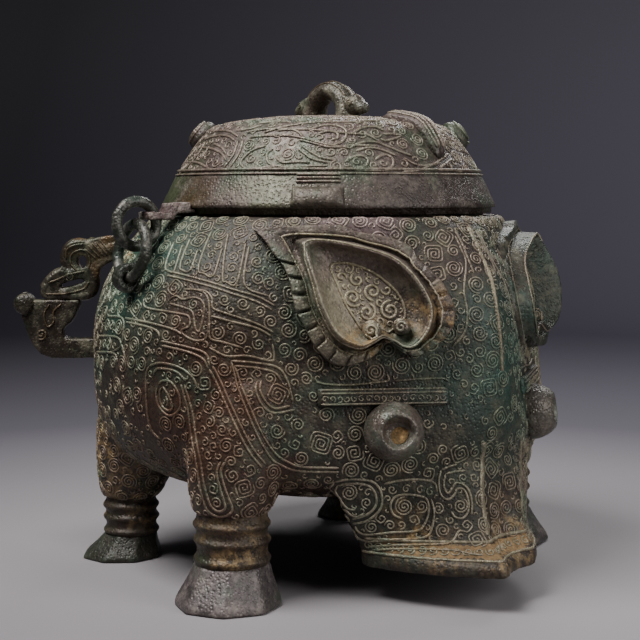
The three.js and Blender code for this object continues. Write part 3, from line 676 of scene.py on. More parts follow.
def sweep_threads(name, lines, body, slot, material, sides=5):
    """Sweeps (points, radius) lines, both in millimetres, into one piece, thinner at their ends."""
    points, edges, widths = [], [], []
    for path, radius in lines:
        base, last = len(points), len(path) - 1
        if last < 1:
            continue
        points += [p * MM for p in path]
        edges += [(base + i, base + i + 1) for i in range(last)]
        widths += [radius * MM * (0.35 if i in (0, last) else 1) for i in range(last + 1)]
    mesh = bpy.data.meshes.new(name)
    mesh.from_pydata(points, edges, [])
    mesh.attributes.new("thread", "FLOAT", "POINT").data.foreach_set("value", widths)
    made = place_object(name, mesh)
    modifier = made.modifiers.new("sweep", "NODES")
    modifier.node_group = thread_tree
    modifier[thread_inputs["Sides"]] = sides
    modifier[thread_inputs["Material"]] = material
    return finish(apply_modifiers(made), body, slot, material)


def surface_of(*objects):
    """A search tree over the faces of some objects, in millimetres."""
    points, faces = [], []
    for made in objects:
        base = len(points)
        points += [v.co / MM for v in made.data.vertices]
        faces += [tuple(base + i for i in p.vertices) for p in made.data.polygons]
    return BVHTree.FromPolygons(points, faces)


def curve_through(points, step):
    """Points at even steps along a smooth curve through the given ones."""
    padded = [points[0] * 2 - points[1], *points, points[-1] * 2 - points[-2]]
    fine = []
    for a, b, c, d in zip(padded, padded[1:], padded[2:], padded[3:]):
        for t in steps(max(2, int((c - b).length / step * 3)))[:-1]:
            bend, twist = 2 * a - 5 * b + 4 * c - d, 3 * b - a - 3 * c + d
            fine.append(((2 * b) + (c - a) * t + bend * t**2 + twist * t**3) / 2)
    fine.append(points[-1])
    kept, run = [fine[0]], 0.0
    for p, q in zip(fine, fine[1:]):
        run += (q - p).length
        if run >= step:
            kept.append(q)
            run -= step
    if (kept[-1] - fine[-1]).length > 0.4 * step:
        kept.append(fine[-1])
    return kept


def pixels(text):
    """Picture points from text such as "120,80 124,86"."""
    return [tuple(float(n) for n in pair.split(",")) for pair in text.split()]


def on_skin(surface, x, y):
    """Where the picture's ray first meets a surface, with the normal there."""
    return surface.ray_cast(eye, pixel_ray(x, y))[:2]


def pixel_length(size, spot):
    """A length in the picture at some spot, in millimetres."""
    return size * (spot - eye).length / FOCAL_PIXELS


def dropped(path, surface, sink, reach=9):
    """A path's points moved onto the nearest skin, leaving out those that are far from it."""
    kept = []
    for p in path:
        spot, normal, _, away = surface.find_nearest(p)
        if away < reach:
            kept.append(spot + normal * sink)
    return kept


def traced(text, surface, step, lowest=0):
    """A smooth path through picture points, without those that miss the surface."""
    spots = [on_skin(surface, x, y)[0] for x, y in pixels(text)]
    spots = [s for s in spots if s is not None and s.z > lowest]
    return curve_through(spots, step) if len(spots) > 1 else []


def spiral(centre, normal, radius, start, hand, square, surface, pitch=SPIRAL_PITCH, sink=0.0):
    """A flat spiral of even pitch laid on the surface, from its outer end to its eye."""
    side = normal.cross(Vector((0.3, 0.2, 0.93))).normalized()
    other = normal.cross(side)
    path = []
    turn, at = start, radius
    while at > 0.35:
        u, v = abs(math.cos(turn - start)), abs(math.sin(turn - start))
        stretch = 1.05 / (u**5 + v**5) ** 0.2 if square else 1.0
        path.append(centre + (side * math.cos(turn) + other * math.sin(turn) * hand) * at * stretch)
        bend = min(0.75, 1.1 / max(at, 0.5))
        turn += bend
        at -= pitch * bend / (2 * math.pi)
    return dropped(path, surface, sink, 2.5)


def mirror(p):
    return Vector((p.x, -p.y, p.z))


def turn_back(p):
    """The point's twin across an upright plane at the right rear, for the side that faces away."""
    return polar(2 * REAR_PLANE - math.atan2(p.y, p.x), math.hypot(p.x, p.y), p.z)


def twins_of(path, middle):
    """A path with its mirror image, and both again round the rear if it faces that way."""
    twins = [path, [mirror(p) for p in path]]
    if -116 < math.degrees(math.atan2(middle.y, middle.x)) < -60:
        back = [turn_back(p) for p in path]
        twins += [back, [mirror(p) for p in back]]
    return twins


# Strokes, parted by semicolons, and single spirals (x, y, radius) on the near side, laid out in the
# picture's pixels.
STROKES = """
174.6,241.5 165.5,266.3 169.6,271.3 174.6,270.5 182.9,244.8; 190.3,239 180.4,265.5 182.9,270.5
190.3,270.5 198.6,248.9; 211.9,231.5 198.6,268 204.4,273.8 213.5,275.5 222.7,248.1; 228.5,233.2
222.7,277.1 226.8,282.1 236.8,282.9 245.9,243.1; 249.2,246.4 245.1,266.3 244.2,282.9 250.9,290.4
269.1,296.2; 166.5,271 197,278.5 228,288 258,297 275,306; 167,275.5 197,283 228,292.3 256,301.5
272,310; 184.5,289.5 204.4,291 212,298 212.7,308 229,314.4 256,323.5 274,332.7; 211,316 229,321
256,328 271,336; 144.7,297.8 143.9,304.5 149.7,308.6 182.9,314.4 189.5,317.7 189.5,326 181.2,331
187.8,337.6 199.5,341 207.7,334.3 209.4,306 204.4,292.9 189.5,288.7; 169.6,303.6 184.5,307.8
192.8,312.8 196,329.4 200.3,329.4 204.4,306 196,297.8 182.9,299.5 176,296 169,300; 209.4,321 210,338
222,342 243,348; 161.3,341 189.5,347.6 206,354 209.4,367; 162,345.5 188,352 203,359 208.6,369;
209.4,347.6 226,356 247.5,356 270.8,360.9 274,356 272.4,344; 231,360.9 255.8,363 277.4,367.5
287.3,380.8 293,402; 234.5,366 256,368 274,372.5 281.5,381; 231,360.9 239,390.7 255.8,432 270,457
283,466 300,471 339,472; 234.5,366 243.5,391 260,430 275,453 288,462 303,467 339,468; 257.5,380.8
255.8,390.7 262.5,405.6 274,413 295.6,409.8; 261.5,380 260,390 266,402 275,408.5 290,406;
212.7,365.8 222.7,385.7 236,415.6 252,447 266,465; 209.4,369 219,388 232,418 248,450 262,468;
149.7,365.8 146.4,375.8 147,407 151.4,429 159.7,438.8; 149.7,365.8 161.3,363 179.6,367.5 192.8,377.4
197.8,389; 153.9,375 155,371 160,368.5 176,371.5 186,381; 158.8,384 163,380.8 171.3,382.4
179.6,395.7 179.6,409 169.6,415.6 159.7,407.3 156.3,395.7 157.5,387; 163,386.5 169.6,397.4
172.9,407.3 168,410.6 161.3,404 160,392 162,387; 166,396 168.5,403 166.5,405.5; 181.2,384
187.8,407.3 191.2,432 196,460 199,480 203,498.7 208,511 218.5,516.5 228.5,514.5 232.5,509 229,499
224,485 221,471 225,462; 184.5,384 191.5,407.3 195.5,432 200.5,460 203.5,480 207,495 211,506
218.5,511.6 225.2,508.5 224,501.5 220,487 217,472 221,461; 194,521.6 218.5,525.5 240,526 273,524;
104.4,495 118,501.5 143.9,503.7 160,501; 125,318 150,323 172,329 183,335; 126,322 148,327 158,332
160,340; 108,316 122,318 124,330 121,346 112,352; 100,336 116,337 122,345 126,360; 97,352 113,353
118,362; 316,382 328,384.5 350,385 376,382.5 388,380.5 387,374; 394,381 420,379 443,378.5 449,382;
320,389.5 333,394 352,393.5 384,391 416,389 444,388.5; 323,397 340,400 360,402.5 378,404.5;
414,405.5 436,404 451,403; 455,231 463,246 468,259 474,274; 455,236 461,249 466,262 464,290 467,310
465,331 452,347; 334,482 331,490 334,500 341,509 352,515.5 366,513; 334,482 346,479.5 360,479.5
373,482 380.5,491 382,503 378,512 366,521 352,523.5; 337.5,485.5 335.5,492 339,501 346,507.5
356,510; 337.5,485.5 349,483.5 362,484 371,487.5 376,496 375.5,506 367,514.5 352,519; 355,526
358,531 366,534.5 392,532.5 416,531 424,525 428.5,512 427,500 420,496 405,494.5 395,497 390.5,505
393,514 401,518.5; 352,528 357,537 368,541 395,539.5 424,537.5 431.5,529 434,512 431,499; 369,546.5
400,545 430,544.5 449,543 455,537.5 459,531 466,532; 372,550 400,549 430,549.5 455,550.5 470,554
484,555.5; 441,470 438.5,482 441,495 448,499.5 454.5,494.5 457,489 463,489 467.5,497 468.5,510
463,518 455,517 451.5,511.5; 445.5,474 443.5,484 446,492 449,493 452,488 456,483 463,484.5 469,491
472,503 471.5,515; 441,470 449,466.5 457,464; 445.5,474 456,471.5 466,470.5; 384,484 400,480.5
420,479.5 434,483 437,492
"""
SPIRALS = """
174.5,252,4 172.5,263,4.6 189.5,252,4.2 187,263,4.8 211.5,255,5.4 207,267,6.2 232,268,6 233,257,5
237,244,4.2 257,262,6.6 258.5,279,7.2 269.5,283,6 259,248,4.6 224.5,300,6.2 243,304,6.8 260,311,6
217.5,333,7.4 240,339,7.6 258.5,344,6.4 288.5,330,9 299.5,355,7.6 306,379,6.8 313.5,396,6.2
326,415,8.2 134,323,6.2 121,309,7 112,324,5.4 277.4,395,10 243,373,6 252,402,3.8 263,424,4 277,431,8
298,425,7 321,444,11 295,444,5.6 337,436,6 216,395,6 219,413,6.2 222,430,6 226,446,7.6 231,462,6
244,488,9.5 250,513,9.5 262,498,6 250,470,6 197,391,4.4 198,404,4.8 199,417,4.8 203,430,4.4
205,442,5 208,455,5 209,467,4.6 211,478,4.8 213,489,5.6 192,497,6 199,514,5.2 184,437,5.4
185,453,5.8 188,469,5.6 176,352,4.6 186,357,4.4 147,352,5.4 160,352,4.8 366.5,503,5.6 390,525.5,5.4
413.5,520,5.2 392,489.5,4.8 406,489,4.6 420,490,4.4 438,509,6 443,530.5,7.4 474,477,4.6 433,459,6.6
475,452,6.2 474,388,5.4 457,374,5.6 469,359,5.2 449,356,6 467,341,5 455,318,4.6 454,302,4.8
453,286,4.6 409,397.5,3.2 420,397,3.4 431,397,3.4 442,397,3.4 398,398.5,3.2 388,399,3.2
"""
casting_surface = surface_of(casting)
draw = random.Random(7)
relief = []
circles = []
for text in STROKES.split(";"):
    stroke = dropped(traced(text, casting_surface, 1.2), casting_surface, 0)
    if stroke:
        for twin in twins_of(stroke, stroke[len(stroke) // 2]):
            relief.append((dropped(twin, casting_surface, 0), BORDER_THREAD))
for x, y, size in pixels(SPIRALS):
    spot = on_skin(casting_surface, x, y)[0]
    if spot is None:
        continue
    start, hand = draw.uniform(0, 6.28), draw.choice((1, -1))
    square = size > SQUARE_SIZE or draw.random() < 0.15
    radius = pixel_length(size, spot)
    for (centre,) in twins_of([spot], spot):
        centre, normal, _, away = casting_surface.find_nearest(centre)
        if away < 6:
            path = spiral(centre, normal, radius, start, hand, square, casting_surface)
            relief.append((path, THREAD))
            circles.append((centre, radius))
relief = [(path, radius) for path, radius in relief if len(path) > 1]


def filled(places, surface, lines, taken, open_at, sizes, gap=SPIRAL_GAP, seed=3):
    """Small spirals packed greedily, large to small, between the lines and circles already laid.
    Places are (spot, normal) pairs on the surface."""
    spots = [spot for spot, _ in places]
    laid = [p for path, _ in lines for p in path] + [FAR_BELOW]
    room, finder = kdtree.KDTree(len(laid)), kdtree.KDTree(len(spots))
    for search, points in ((room, laid), (finder, spots)):
        for i, p in enumerate(points):
            search.insert(p, i)
        search.balance()
    free = []
    for spot in spots:
        space = room.find(spot)[2] - gap
        for centre, radius in taken:
            if abs(centre.x - spot.x) < 14 and abs(centre.z - spot.z) < 14:
                space = min(space, (spot - centre).length - radius - gap)
        free.append(space if open_at(spot) else -1)
    draw = random.Random(seed)
    placed = []
    for size in sizes:
        order = [i for i, space in enumerate(free) if space >= size]
        draw.shuffle(order)
        for i in order:
            if free[i] < size:
                continue
            radius = min(free[i], size * 1.14)
            hand, square = draw.choice((1, -1)), draw.random() < 0.22
            start = draw.uniform(0, 6.28)
            path = spiral(*places[i], radius, start, hand, square, surface)
            if len(path) > 3:
                placed.append((path, THREAD))
            for _, j, distance in finder.find_range(spots[i], radius + gap + sizes[0] * 1.2):
                free[j] = min(free[j], distance - radius - gap)
    return placed


# No thread is packed inside the bowl or on its underside, on the muzzle's rim and underside or
# where the ankles begin.
def open_skin(p):
    phi, reach = math.atan2(p.y, p.x), math.hypot(p.x, p.y)
    if p.z > 203.5 or p.z < 27.5 or reach < 84 and p.z < 120:
        return False
    if p.z > 120 and reach < skin_radius(phi, p.z) - 3:
        return False
    if p.z < 62 and reach < 100 or p.z < 35.5 and p.x > 84:
        return False
    for leg in LEGS.values():
        for side in SIDES.values():
            foot = polar(side * math.radians(leg["turn"]), leg_reach(leg, side), p.z)
            if p.z < leg["hoof"] + leg["bead"] + 1.5 and (p - foot).length < 60:
                return False
    return True


skin_places = [(v.co / MM, v.normal.copy()) for v in casting.data.vertices]
relief += filled(skin_places, casting_surface, relief, circles, open_skin, SPIRAL_SIZES)
sectors = [[] for _ in range(10)]
for path, radius in relief:
    spot = path[len(path) // 2]
    sector = int((math.atan2(spot.y, spot.x) / (2 * math.pi) + 0.5) * 10) % 10
    sectors[sector].append((path, radius))
for i, lines in enumerate(sectors):
    sweep_threads(f"threads_{i}", lines, "vessel", "dark_patina", rubbed_bronze)

# The forehead's crease and the two ribs down the nose are thicker, rubbed to pale cream metal, the
# near rib to a broad strip. The muzzle's lower rim is plain, with a thin rubbed edge and one row of
# spirals.
RIBS = (
    ("459,213 467,226 474,239 481,254 487,268 492,283 496,305 499,328 501,350 502,372", 1.5, -0.5),
    ("484,440 482,460 482,480 483,500 486,520 490,538", 3.2, -2.5),
    ("521,440 520,460 520,480 521,500 524,520", 1.5, -0.6),
)
RIM_EDGE = 26.8
RIM_SPIRALS = 30.4
RIM_CORD = 34.6
rib_bronze = bronze("rubbed rib bronze", "#7c735f", "#8a8069", "#5f6d5a", "#b9ad92", gloss=0.42)
ribs = []
for text, radius, sink in RIBS:
    path = dropped(traced(text, casting_surface, 1.5), casting_surface, sink)
    ribs.append((path, radius))


def round_muzzle(z):
    """Evenly spaced places round the muzzle at a height, from its right rear to its left rear."""
    hits = []
    for share in steps(140):
        phi = math.radians(mix(-33, 33, share))
        hits.append(casting_surface.ray_cast(polar(phi, 230, z), -polar(phi, 1, 0))[0])
    return curve_through([h for h in hits if h is not None], 1)


for z, sink, radius in ((RIM_EDGE, 0.1, 0.8), (RIM_CORD, -0.3, 1.0)):
    ribs.append((dropped(round_muzzle(z), casting_surface, sink), radius))
row = round_muzzle(RIM_SPIRALS)
for i in range(3, len(row) - 3, 6):
    spot, normal, _, _ = casting_surface.find_nearest(row[i])
    ribs.append((spiral(spot, normal, 2.7, i, 1, False, casting_surface, 1.7), 0.5))
weather(sweep_threads("nose_ribs", ribs, "vessel", "dark_patina", rib_bronze, 8), 0.3, 3)

# Ears
# Each ear is a broad leaf cast with the cheek, lying on it: a flat barred border, a raised rim that
# rolls over like a dish's edge and two snail-like knobs at its lobe. Its metal is a rosier brown.
# The near ear's outlines are laid out in the picture's pixels, and the far ear is its mirror.
EAR_HALF = 150
EAR_MIDDLE = Vector((372, 297, 0))
EAR_MM_PER_PIXEL = 0.56
NOTCH_PITCH = 10.5
NOTCH_WIDTH = 2.4
REAR_RISE = 5
BASIN_SIZES = (3, 2.4, 1.9, 1.5, 1.2)
EAR_OUTER = """
254,230 263,239 273,253 283,266 290,283 293,299.5 297,313 304,326 313,343 323,356 333,364 346,366
356,364 371,357.5 381,349 385,342 / 394,346 406,354 419,356 432,347.6 445.6,337.6 454,322.7 454,306
447,289.5 439,278 427,266 417.5,258 412.5,248 397.5,240 381,235.7 356,231.5 341,225.7 323,224.9
301,225.7 273,227"""
EAR_CREST = """
306,242 304.7,246 310,266 316,284.6 321,303 328,319 334.5,331 343,339 353,344 363,346 373,341.5
381,337 385,336.5 / 396,341 404,346 412.5,346 421,339 429,326 431,308 424,291 412.5,274.6 397.5,261
381,253 356,246 333,241.5 314.6,240"""
EAR_BASIN = """
333,271 338,283 346,303 356,319 362.7,329 371,331 379,327.7 / 387.6,331.7 397.5,322.7 402.5,316
401.7,306 396,294.5 386,284.6 372.7,274.6 359,268 346,264.7 334.5,266"""
# The rosy patch high on the ear is its own rosier metal. The beige patch low in the dish is painted
# light, where the basin faces the overhead soft box.
ear_tints_and_painted_light = (("#85756c", (100, -78, 190), 46), ("#948b75", (95, -85, 150), 40))
ear_earths = (((105, -70, 152), 20), ((124, -34, 145), 24))
ear_bronze = bronze(
    "buried bronze ear", "#494037", "#554840", "#515b4a", "#958a77", ear_tints_and_painted_light, ear_earths,
    gloss=0.48,
)
ear_thread_bronze = bronze(
    "rubbed ear thread bronze", "#9c9176", "#97887a", "#848d77", "#bdb196", gloss=0.45
)
far_ear_bronze = bronze("green bronze far ear", "#34382e", "#433b30", "#3c5045", "#8a846f")


def normal_near(p):
    """The smooth skin's normal beside a point."""
    return skin_normal(math.atan2(p.y, p.x), p.z)


def above_skin(x, y, lift):
    """The point on a pixel's ray that stands this far above the casting."""
    ray = pixel_ray(x, y)
    spot = on_skin(casting_surface, x, y)[0]
    if spot is None:
        spot = eye + ray * (VIEW_DISTANCE - 90)
    for _ in range(4):
        nearest = casting_surface.find_nearest(spot)[0]
        normal = normal_near(nearest)
        height = (spot - nearest).dot(normal)
        spot = spot + ray * ((lift - height) / min(ray.dot(normal), -0.35))
    return spot


def even_outline(text):
    """Evenly spaced pixels round an outline, half of them before the cusp and half after."""
    first, second = ([Vector((*p, 0)) for p in pixels(half)] for half in text.split("/"))
    even = []
    for run in (first + second[:1], second + first[:1]):
        fine = curve_through(run, 0.25)
        even += [fine[int(i * (len(fine) - 1) / EAR_HALF)] for i in range(EAR_HALF)]
    return even


outer, crest, basin = (even_outline(text) for text in (EAR_OUTER, EAR_CREST, EAR_BASIN))
middle = [EAR_MIDDLE] * len(outer)


def ear_ring(start, end, share, lift, notched=0.0):
    """One round of the ear between two outlines, at a lift, its border barred where notched."""
    ring, run = [], 0.0
    for i, (a, b) in enumerate(zip(start, end)):
        pixel = a.lerp(b, share)
        run += (outer[i] - outer[i - 1]).length * EAR_MM_PER_PIXEL if i else 0
        barred = 0.1 * EAR_HALF < i < 1.6 * EAR_HALF and run % NOTCH_PITCH < NOTCH_WIDTH
        rise = REAR_RISE * math.sin(math.pi * min(1, i / EAR_HALF)) * min(1, max(0, lift) / 6)
        ring.append(above_skin(pixel.x, pixel.y, lift + rise - (notched if barred else 0)))
    return ring


ear_rounds = [
    (outer, middle, 0.06, -4), (outer, crest, 0, -2), (outer, crest, 0, 3.2, 1.1),
    (outer, crest, 0.08, 4.2, 1.5), (outer, crest, 0.5, 4.4, 1.5), (outer, crest, 0.57, 2.2),
    (outer, crest, 0.7, 1.4), (outer, crest, 0.8, 2.2), (outer, crest, 0.87, 7),
    (outer, crest, 0.93, 11.6), (outer, crest, 1, 13.2), (crest, basin, 0.07, 13.2),
    (crest, basin, 0.14, 11.8), (crest, basin, 0.24, 8.4), (crest, basin, 0.42, 5.4),
    (crest, basin, 0.8, 2.6), (basin, middle, 0.1, 1.8), (basin, middle, 0.5, 1.6),
]
ear_rings = finer([ear_ring(*row)[::-1] for row in ear_rounds])
ear_ends = [above_skin(*EAR_MIDDLE.xy, lift) for lift in (-4, 1.6)]


def subdivide(made):
    smooth = made.modifiers.new("smooth", "SUBSURF")
    smooth.levels = smooth.render_levels = 1
    return apply_modifiers(made)


def face_outward(made):
    """Turns a closed mesh's faces outwards after its doubles are merged."""
    shell = bmesh.new()
    shell.from_mesh(made.data)
    bmesh.ops.remove_doubles(shell, verts=shell.verts, dist=0.00001)
    bmesh.ops.recalc_face_normals(shell, faces=shell.faces)
    shell.to_mesh(made.data)
    shell.free()
    return made


def mirror_piece(made, name):
    """The piece's twin on the animal's other side."""
    twin = place_object(name, made.data.copy())
    for vertex in twin.data.vertices:
        vertex.co.y = -vertex.co.y
    return face_outward(twin)


def ring_about(centre, side, other, radius, count):
    """A round of points about a centre, in the plane of two directions."""
    return [centre + (side * math.cos(a) + other * math.sin(a)) * radius for a in around(count)]


def lathe_on(name, place, normal, profile, columns=40):
    """A round piece on the skin from (radius, height) pairs, closed at both ends."""
    side = normal.cross(Vector((0.2, 0.1, 0.97))).normalized()
    other = normal.cross(side)
    rings = [ring_about(place + normal * h, side, other, radius, columns) for radius, h in profile]
    return loft(name, rings, *(place + normal * profile[i][1] for i in (0, -1)))


ear = face_outward(weather(loft("ear_right_cast", ear_rings, *ear_ends), 0.18, 9))
knobs = []
for x, y, size in ((371, 330.5, 4.9), (401, 327, 4.3)):
    normal = normal_near(on_skin(casting_surface, x, y)[0])
    hump = [(size, 0), (size, 4.2), (size * 0.9, 6.6), (size * 0.66, 8), (size * 0.3, 8.8)]
    knobs.append(lathe_on("knob", above_skin(x, y, 3), normal, hump))
ear = merged("ear_right_skin", [ear] + knobs)
ear_left = mirror_piece(ear, "ear_left_skin")
ear_surface = surface_of(ear)
ear_lines = []
for x, y, size, pitch in (
    (371, 330.5, 8.4, 2.4), (401, 327, 7.4, 2.4), (352.5, 298, 9.6, 2.7), (372.5, 292, 9.2, 2.7),
    (390, 310.5, 10, 2.7), (357, 280, 7.4, 2.6), (367, 312.5, 9.4, 2.7), (386.5, 290, 5.6, 2.3),
    (341, 277.5, 5.6, 2.4), (345, 287.5, 3.4, 2), (379.5, 321.5, 4.6, 2.2), (380, 302.5, 4.4, 2.2),
    (362, 303, 2.8, 2), (351, 313, 3.4, 2), (369, 279, 3.8, 2), (398, 298, 3.2, 2),
):
    spot, normal = on_skin(ear_surface, x, y)
    start, hand = draw.uniform(0, 6.28), draw.choice((1, -1))
    radius = pixel_length(size, spot)
    path = spiral(spot, normal, radius, start, hand, False, ear_surface, pitch, 0.2)
    ear_lines.append((path, pitch * 0.29))
for first, second, share, height, sink, reach, thickness in (
    (outer, crest, 0.52, 4, 0.15, 9, 0.6),
    (outer, crest, 1, 13, 0.15, 9, 0.6),
    (crest, basin, 0.92, 3, 0.2, 12, 0.75),
):
    ring = [above_skin(*a.lerp(b, share).xy, height) for a, b in zip(first, second)]
    ear_lines.append((dropped(ring + ring[:1], ear_surface, sink, reach), thickness))


def in_basin(spot):
    """Whether a place on the ear lies within the basin's outline, as the picture shows it."""
    away = spot - eye
    scale = FOCAL_PIXELS / away.dot(looking)
    x = FRAME_PIXELS / 2 + scale * away.dot(picture_right)
    y = FRAME_PIXELS / 2 - scale * away.dot(picture_up)
    crossings = 0
    for p, q in zip(basin, basin[1:] + basin[:1]):
        if (p.y > y) != (q.y > y) and x < p.x + (y - p.y) / (q.y - p.y) * (q.x - p.x):
            crossings += 1
    return crossings % 2 == 1


def stood_off(p):
    """A point of the far ear, which lies flatter in front and further off the cheek behind."""
    spot, normal, _, _ = casting_surface.find_nearest(p)
    height = (p - spot).dot(normal)
    return p + normal * smooth_step(-1, 9, height) * mix(-4, 4, smooth_step(118, 90, p.x))


basin_grid = [(333 + 0.9 * (i % 80), 265 + 0.9 * (i // 80)) for i in range(80 * 80)]
basin_places = [on_skin(ear_surface, x, y) for x, y in basin_grid]
basin_places = [(spot, normal) for spot, normal in basin_places if spot is not None]
small = filled(basin_places, ear_surface, ear_lines, [], in_basin, BASIN_SIZES, 0.7, 9)
ear_lines += [(path, 0.52) for path, _ in small]
for vertex in ear_left.data.vertices:
    vertex.co = stood_off(vertex.co / MM) * MM
left_lines = [([stood_off(mirror(p)) for p in path], radius) for path, radius in ear_lines]
finish(ear, "vessel", "purple_patina", ear_bronze, "ear_right")
finish(ear_left, "vessel", "purple_patina", far_ear_bronze, "ear_left")
sweep_threads("ear_threads_right", ear_lines, "vessel", "purple_patina", ear_thread_bronze, 7)
sweep_threads("ear_threads_left", left_lines, "vessel", "purple_patina", rubbed_bronze, 7)

# Eyes and brows
# The eyes are round bosses with a dished pupil, cast on the cheeks and smooth from handling, with
# burial earth still in the low side of the pupil. A barred ledge runs over each as a brow.
EYE_TURN = math.radians(-26.5)
EYE_LEVEL = 93
EYE_RADIUS = 16
EYE_LIFT = 14
SOIL_LIFT = 8.1
SOIL_LEAN = 0.42
BROW_BOTTOM = 106.5
BROW_TALL = 9
BROW_LIFT = 2.4
COIL_HEIGHT = BROW_BOTTOM + 3.6
COIL_LEVEL = BROW_BOTTOM + 1.5
eye_bronze = bronze("smooth dark bronze", "#57524a", "#62564d", "#5e6c5e", "#a39c8e", gloss=0.4)
earth, tree, shader, place = new_material("dry burial earth")
earth_stops = (0.38, "#5a4a33"), (0.55, "#8a6f48"), (0.68, "#c49a66")
tint = ramp(tree, grain(tree, place, 2.2, 4), *earth_stops)
crumb = {"Height": grain(tree, place, 0.8, 4), "Distance": 0.0005, "Strength": 1.0}
crumb = node(tree, "ShaderNodeBump", crumb).outputs[0]
feed(tree, shader, {"Base Color": tint, "Roughness": 0.95, "Normal": crumb})

eye_profile = [
    (EYE_RADIUS, -5), (EYE_RADIUS, 0.5), (15.9, 2.6), (15.3, 5), (14.2, 7.8), (12.7, 10.4),
    (11.2, 12.4), (9.9, 13.6), (8.9, EYE_LIFT - 0.1), (8.2, 13.3), (7.6, 12), (6.7, 10.2),
    (5.3, 8.6), (3.5, 7.6), (1.7, 7.2),
]
soil_profile = [(6.6, -1.6), (7.1, -0.2), (5, 0.1), (2, 0)]
seat = skin_point(EYE_TURN, EYE_LEVEL)
normal = skin_normal(EYE_TURN, EYE_LEVEL)
boss = weather(subdivide(lathe_on("eye_right_boss", seat, normal, eye_profile, 48)), 0.25, 8)
boss_left = mirror_piece(boss, "eye_left_boss")
low_side = picture_right * 0.6 - up * 0.8
leaned = (normal - low_side * SOIL_LEAN).normalized()
soil = subdivide(lathe_on("pupil_earth", seat + normal * SOIL_LIFT, leaned, soil_profile, 24))
soil = weather(soil, 0.2, 4)
soil_left = mirror_piece(soil, "pupil_earth_left")
finish(boss, "vessel", "green_patina", eye_bronze, "eye_right")
finish(boss_left, "vessel", "green_patina", eye_bronze, "eye_left")
for piece in (soil, soil_left):
    finish(piece, "vessel", "green_patina", earth)


def brow_point(phi, share, height):
    """A point of the brow from its turn, a share of its height and a lift off the skin."""
    z = BROW_BOTTOM + BROW_TALL * share
    return skin_point(phi, z) + skin_normal(phi, z) * height


def strip(name, rings):
    """A closed skin over rings, each end drawn to the middle of its ring."""
    ends = [sum(ring, Vector()) / len(ring) for ring in (rings[0], rings[-1])]
    return face_outward(loft(name, rings, *ends))


brow_lines = []
for name, side in SIDES.items():
    rings = []
    for i in range(49):
        lift = BROW_LIFT * min(1, 0.3 + min(i, 48 - i) / 3)
        edge = ((0, -4), (0, lift * 0.7), (0.12, lift), (0.88, lift), (1, lift * 0.7), (1, -4))
        phi = side * math.radians(mix(13, 45, i / 48))
        rings.append([brow_point(phi, *corner) for corner in edge][::side])
    brow = strip(f"brow_{name}_bar", rings)
    finish(brow, "vessel", "dark_patina", body_bronze, f"brow_{name}")
    brow_surface = surface_of(brow)
    for i in range(17):
        phi = side * math.radians(mix(14.5, 43.5, i / 16))
        over = skin_point(phi, COIL_HEIGHT) + skin_normal(phi, COIL_LEVEL) * 3
        spot, normal, _, _ = brow_surface.find_nearest(over)
        brow_lines.append((spiral(spot, normal, 1.9, i, 1, False, brow_surface, 1.5), 0.42))
    for share in (0.1, 0.72, 0.94):
        phis = [side * math.radians(mix(13.5, 44.5, t)) for t in steps(60)]
        line = [brow_point(phi, share, BROW_LIFT) for phi in phis]
        brow_lines.append((dropped(line, brow_surface, 0.1), 0.6))
sweep_threads("brow_threads", brow_lines, "vessel", "dark_patina", rubbed_bronze)

# Feet
# Each leg ends in a slim ankle with three rounded rings and a bell-shaped hoof with broad worn
# facets, cast solid with the leg. The hooves' patina is a smoother grey-purple than the body's.
ANKLE_RINGS = (0.06, 0.45, 0.78)
ANKLE_SLIMMING = 1.2
RING_SWELL = 1.9
RING_SHARPNESS = 2.1
HOOF_PROFILE = (
    (0, 0.95), (0.03, 0.99), (0.1, 1), (0.2, 0.94), (0.35, 0.74), (0.5, 0.52), (0.65, 0.32),
    (0.8, 0.16), (0.9, 0.06), (1, 0),
)
hoof_bronzes = {
    "front": bronze(
        "worn hoof bronze", "#4a4442", "#6d6262", "#505a4b", "#93877f", pale_level=0.57, gloss=0.42
    ),
    "hind": bronze("dark hind hoof bronze", "#2f2e26", "#3b352c", "#3d483b", "#6a6353", gloss=0.45),
}
ankle_earths = (
    ((51, -119, 36), 24), ((-80, -96, 30), 22), ((46, 107, 36), 24), ((-71, 86, 30), 22),
)
ankle_bronze = bronze(
    "ankle bronze", "#362e24", "#43352a", "#39402f", "#6c604b", (), ankle_earths, gloss=0.48
)
for place, leg in LEGS.items():
    for name, side in SIDES.items():
        base, tall, slim = leg["hoof"], leg["bead"], leg["ankle"] - ANKLE_SLIMMING
        rounds = [(0, slim, base - 2)]
        for share in steps(52):
            away = [(share - ring) * tall / RING_SHARPNESS for ring in ANKLE_RINGS]
            swell = min(1, sum(math.exp(-(d**2)) for d in away))
            rounds.append((0, slim + RING_SWELL * swell, base + tall * share))
        rounds.append((0, slim, base + tall + 2))
        ankle = weather(lathe_leg(f"ankle_skin_{place}_{name}", leg, side, rounds), 0.3, 9)
        finish(ankle, "vessel", "dark_patina", ankle_bronze, f"ankle_{place}_{name}")
        top, sole, toe = leg["ankle"] - 0.4, leg["sole"], leg["toe"]
        rounds = [(toe * (1 - h), mix(top, sole, wide), base * h) for h, wide in HOOF_PROFILE]
        hoof = subdivide(lathe_leg(f"hoof_skin_{place}_{name}", leg, side, rounds, 0.85))
        low = min(v.co.z for v in hoof.data.vertices)
        for vertex in hoof.data.vertices:
            vertex.co.z = max(0, vertex.co.z - low)
        weather(hoof, 0.2, 14)
        for vertex in hoof.data.vertices:
            vertex.co.z = max(0, vertex.co.z)
        finish(hoof, "vessel", "purple_patina", hoof_bronzes[place], f"hoof_{place}_{name}")

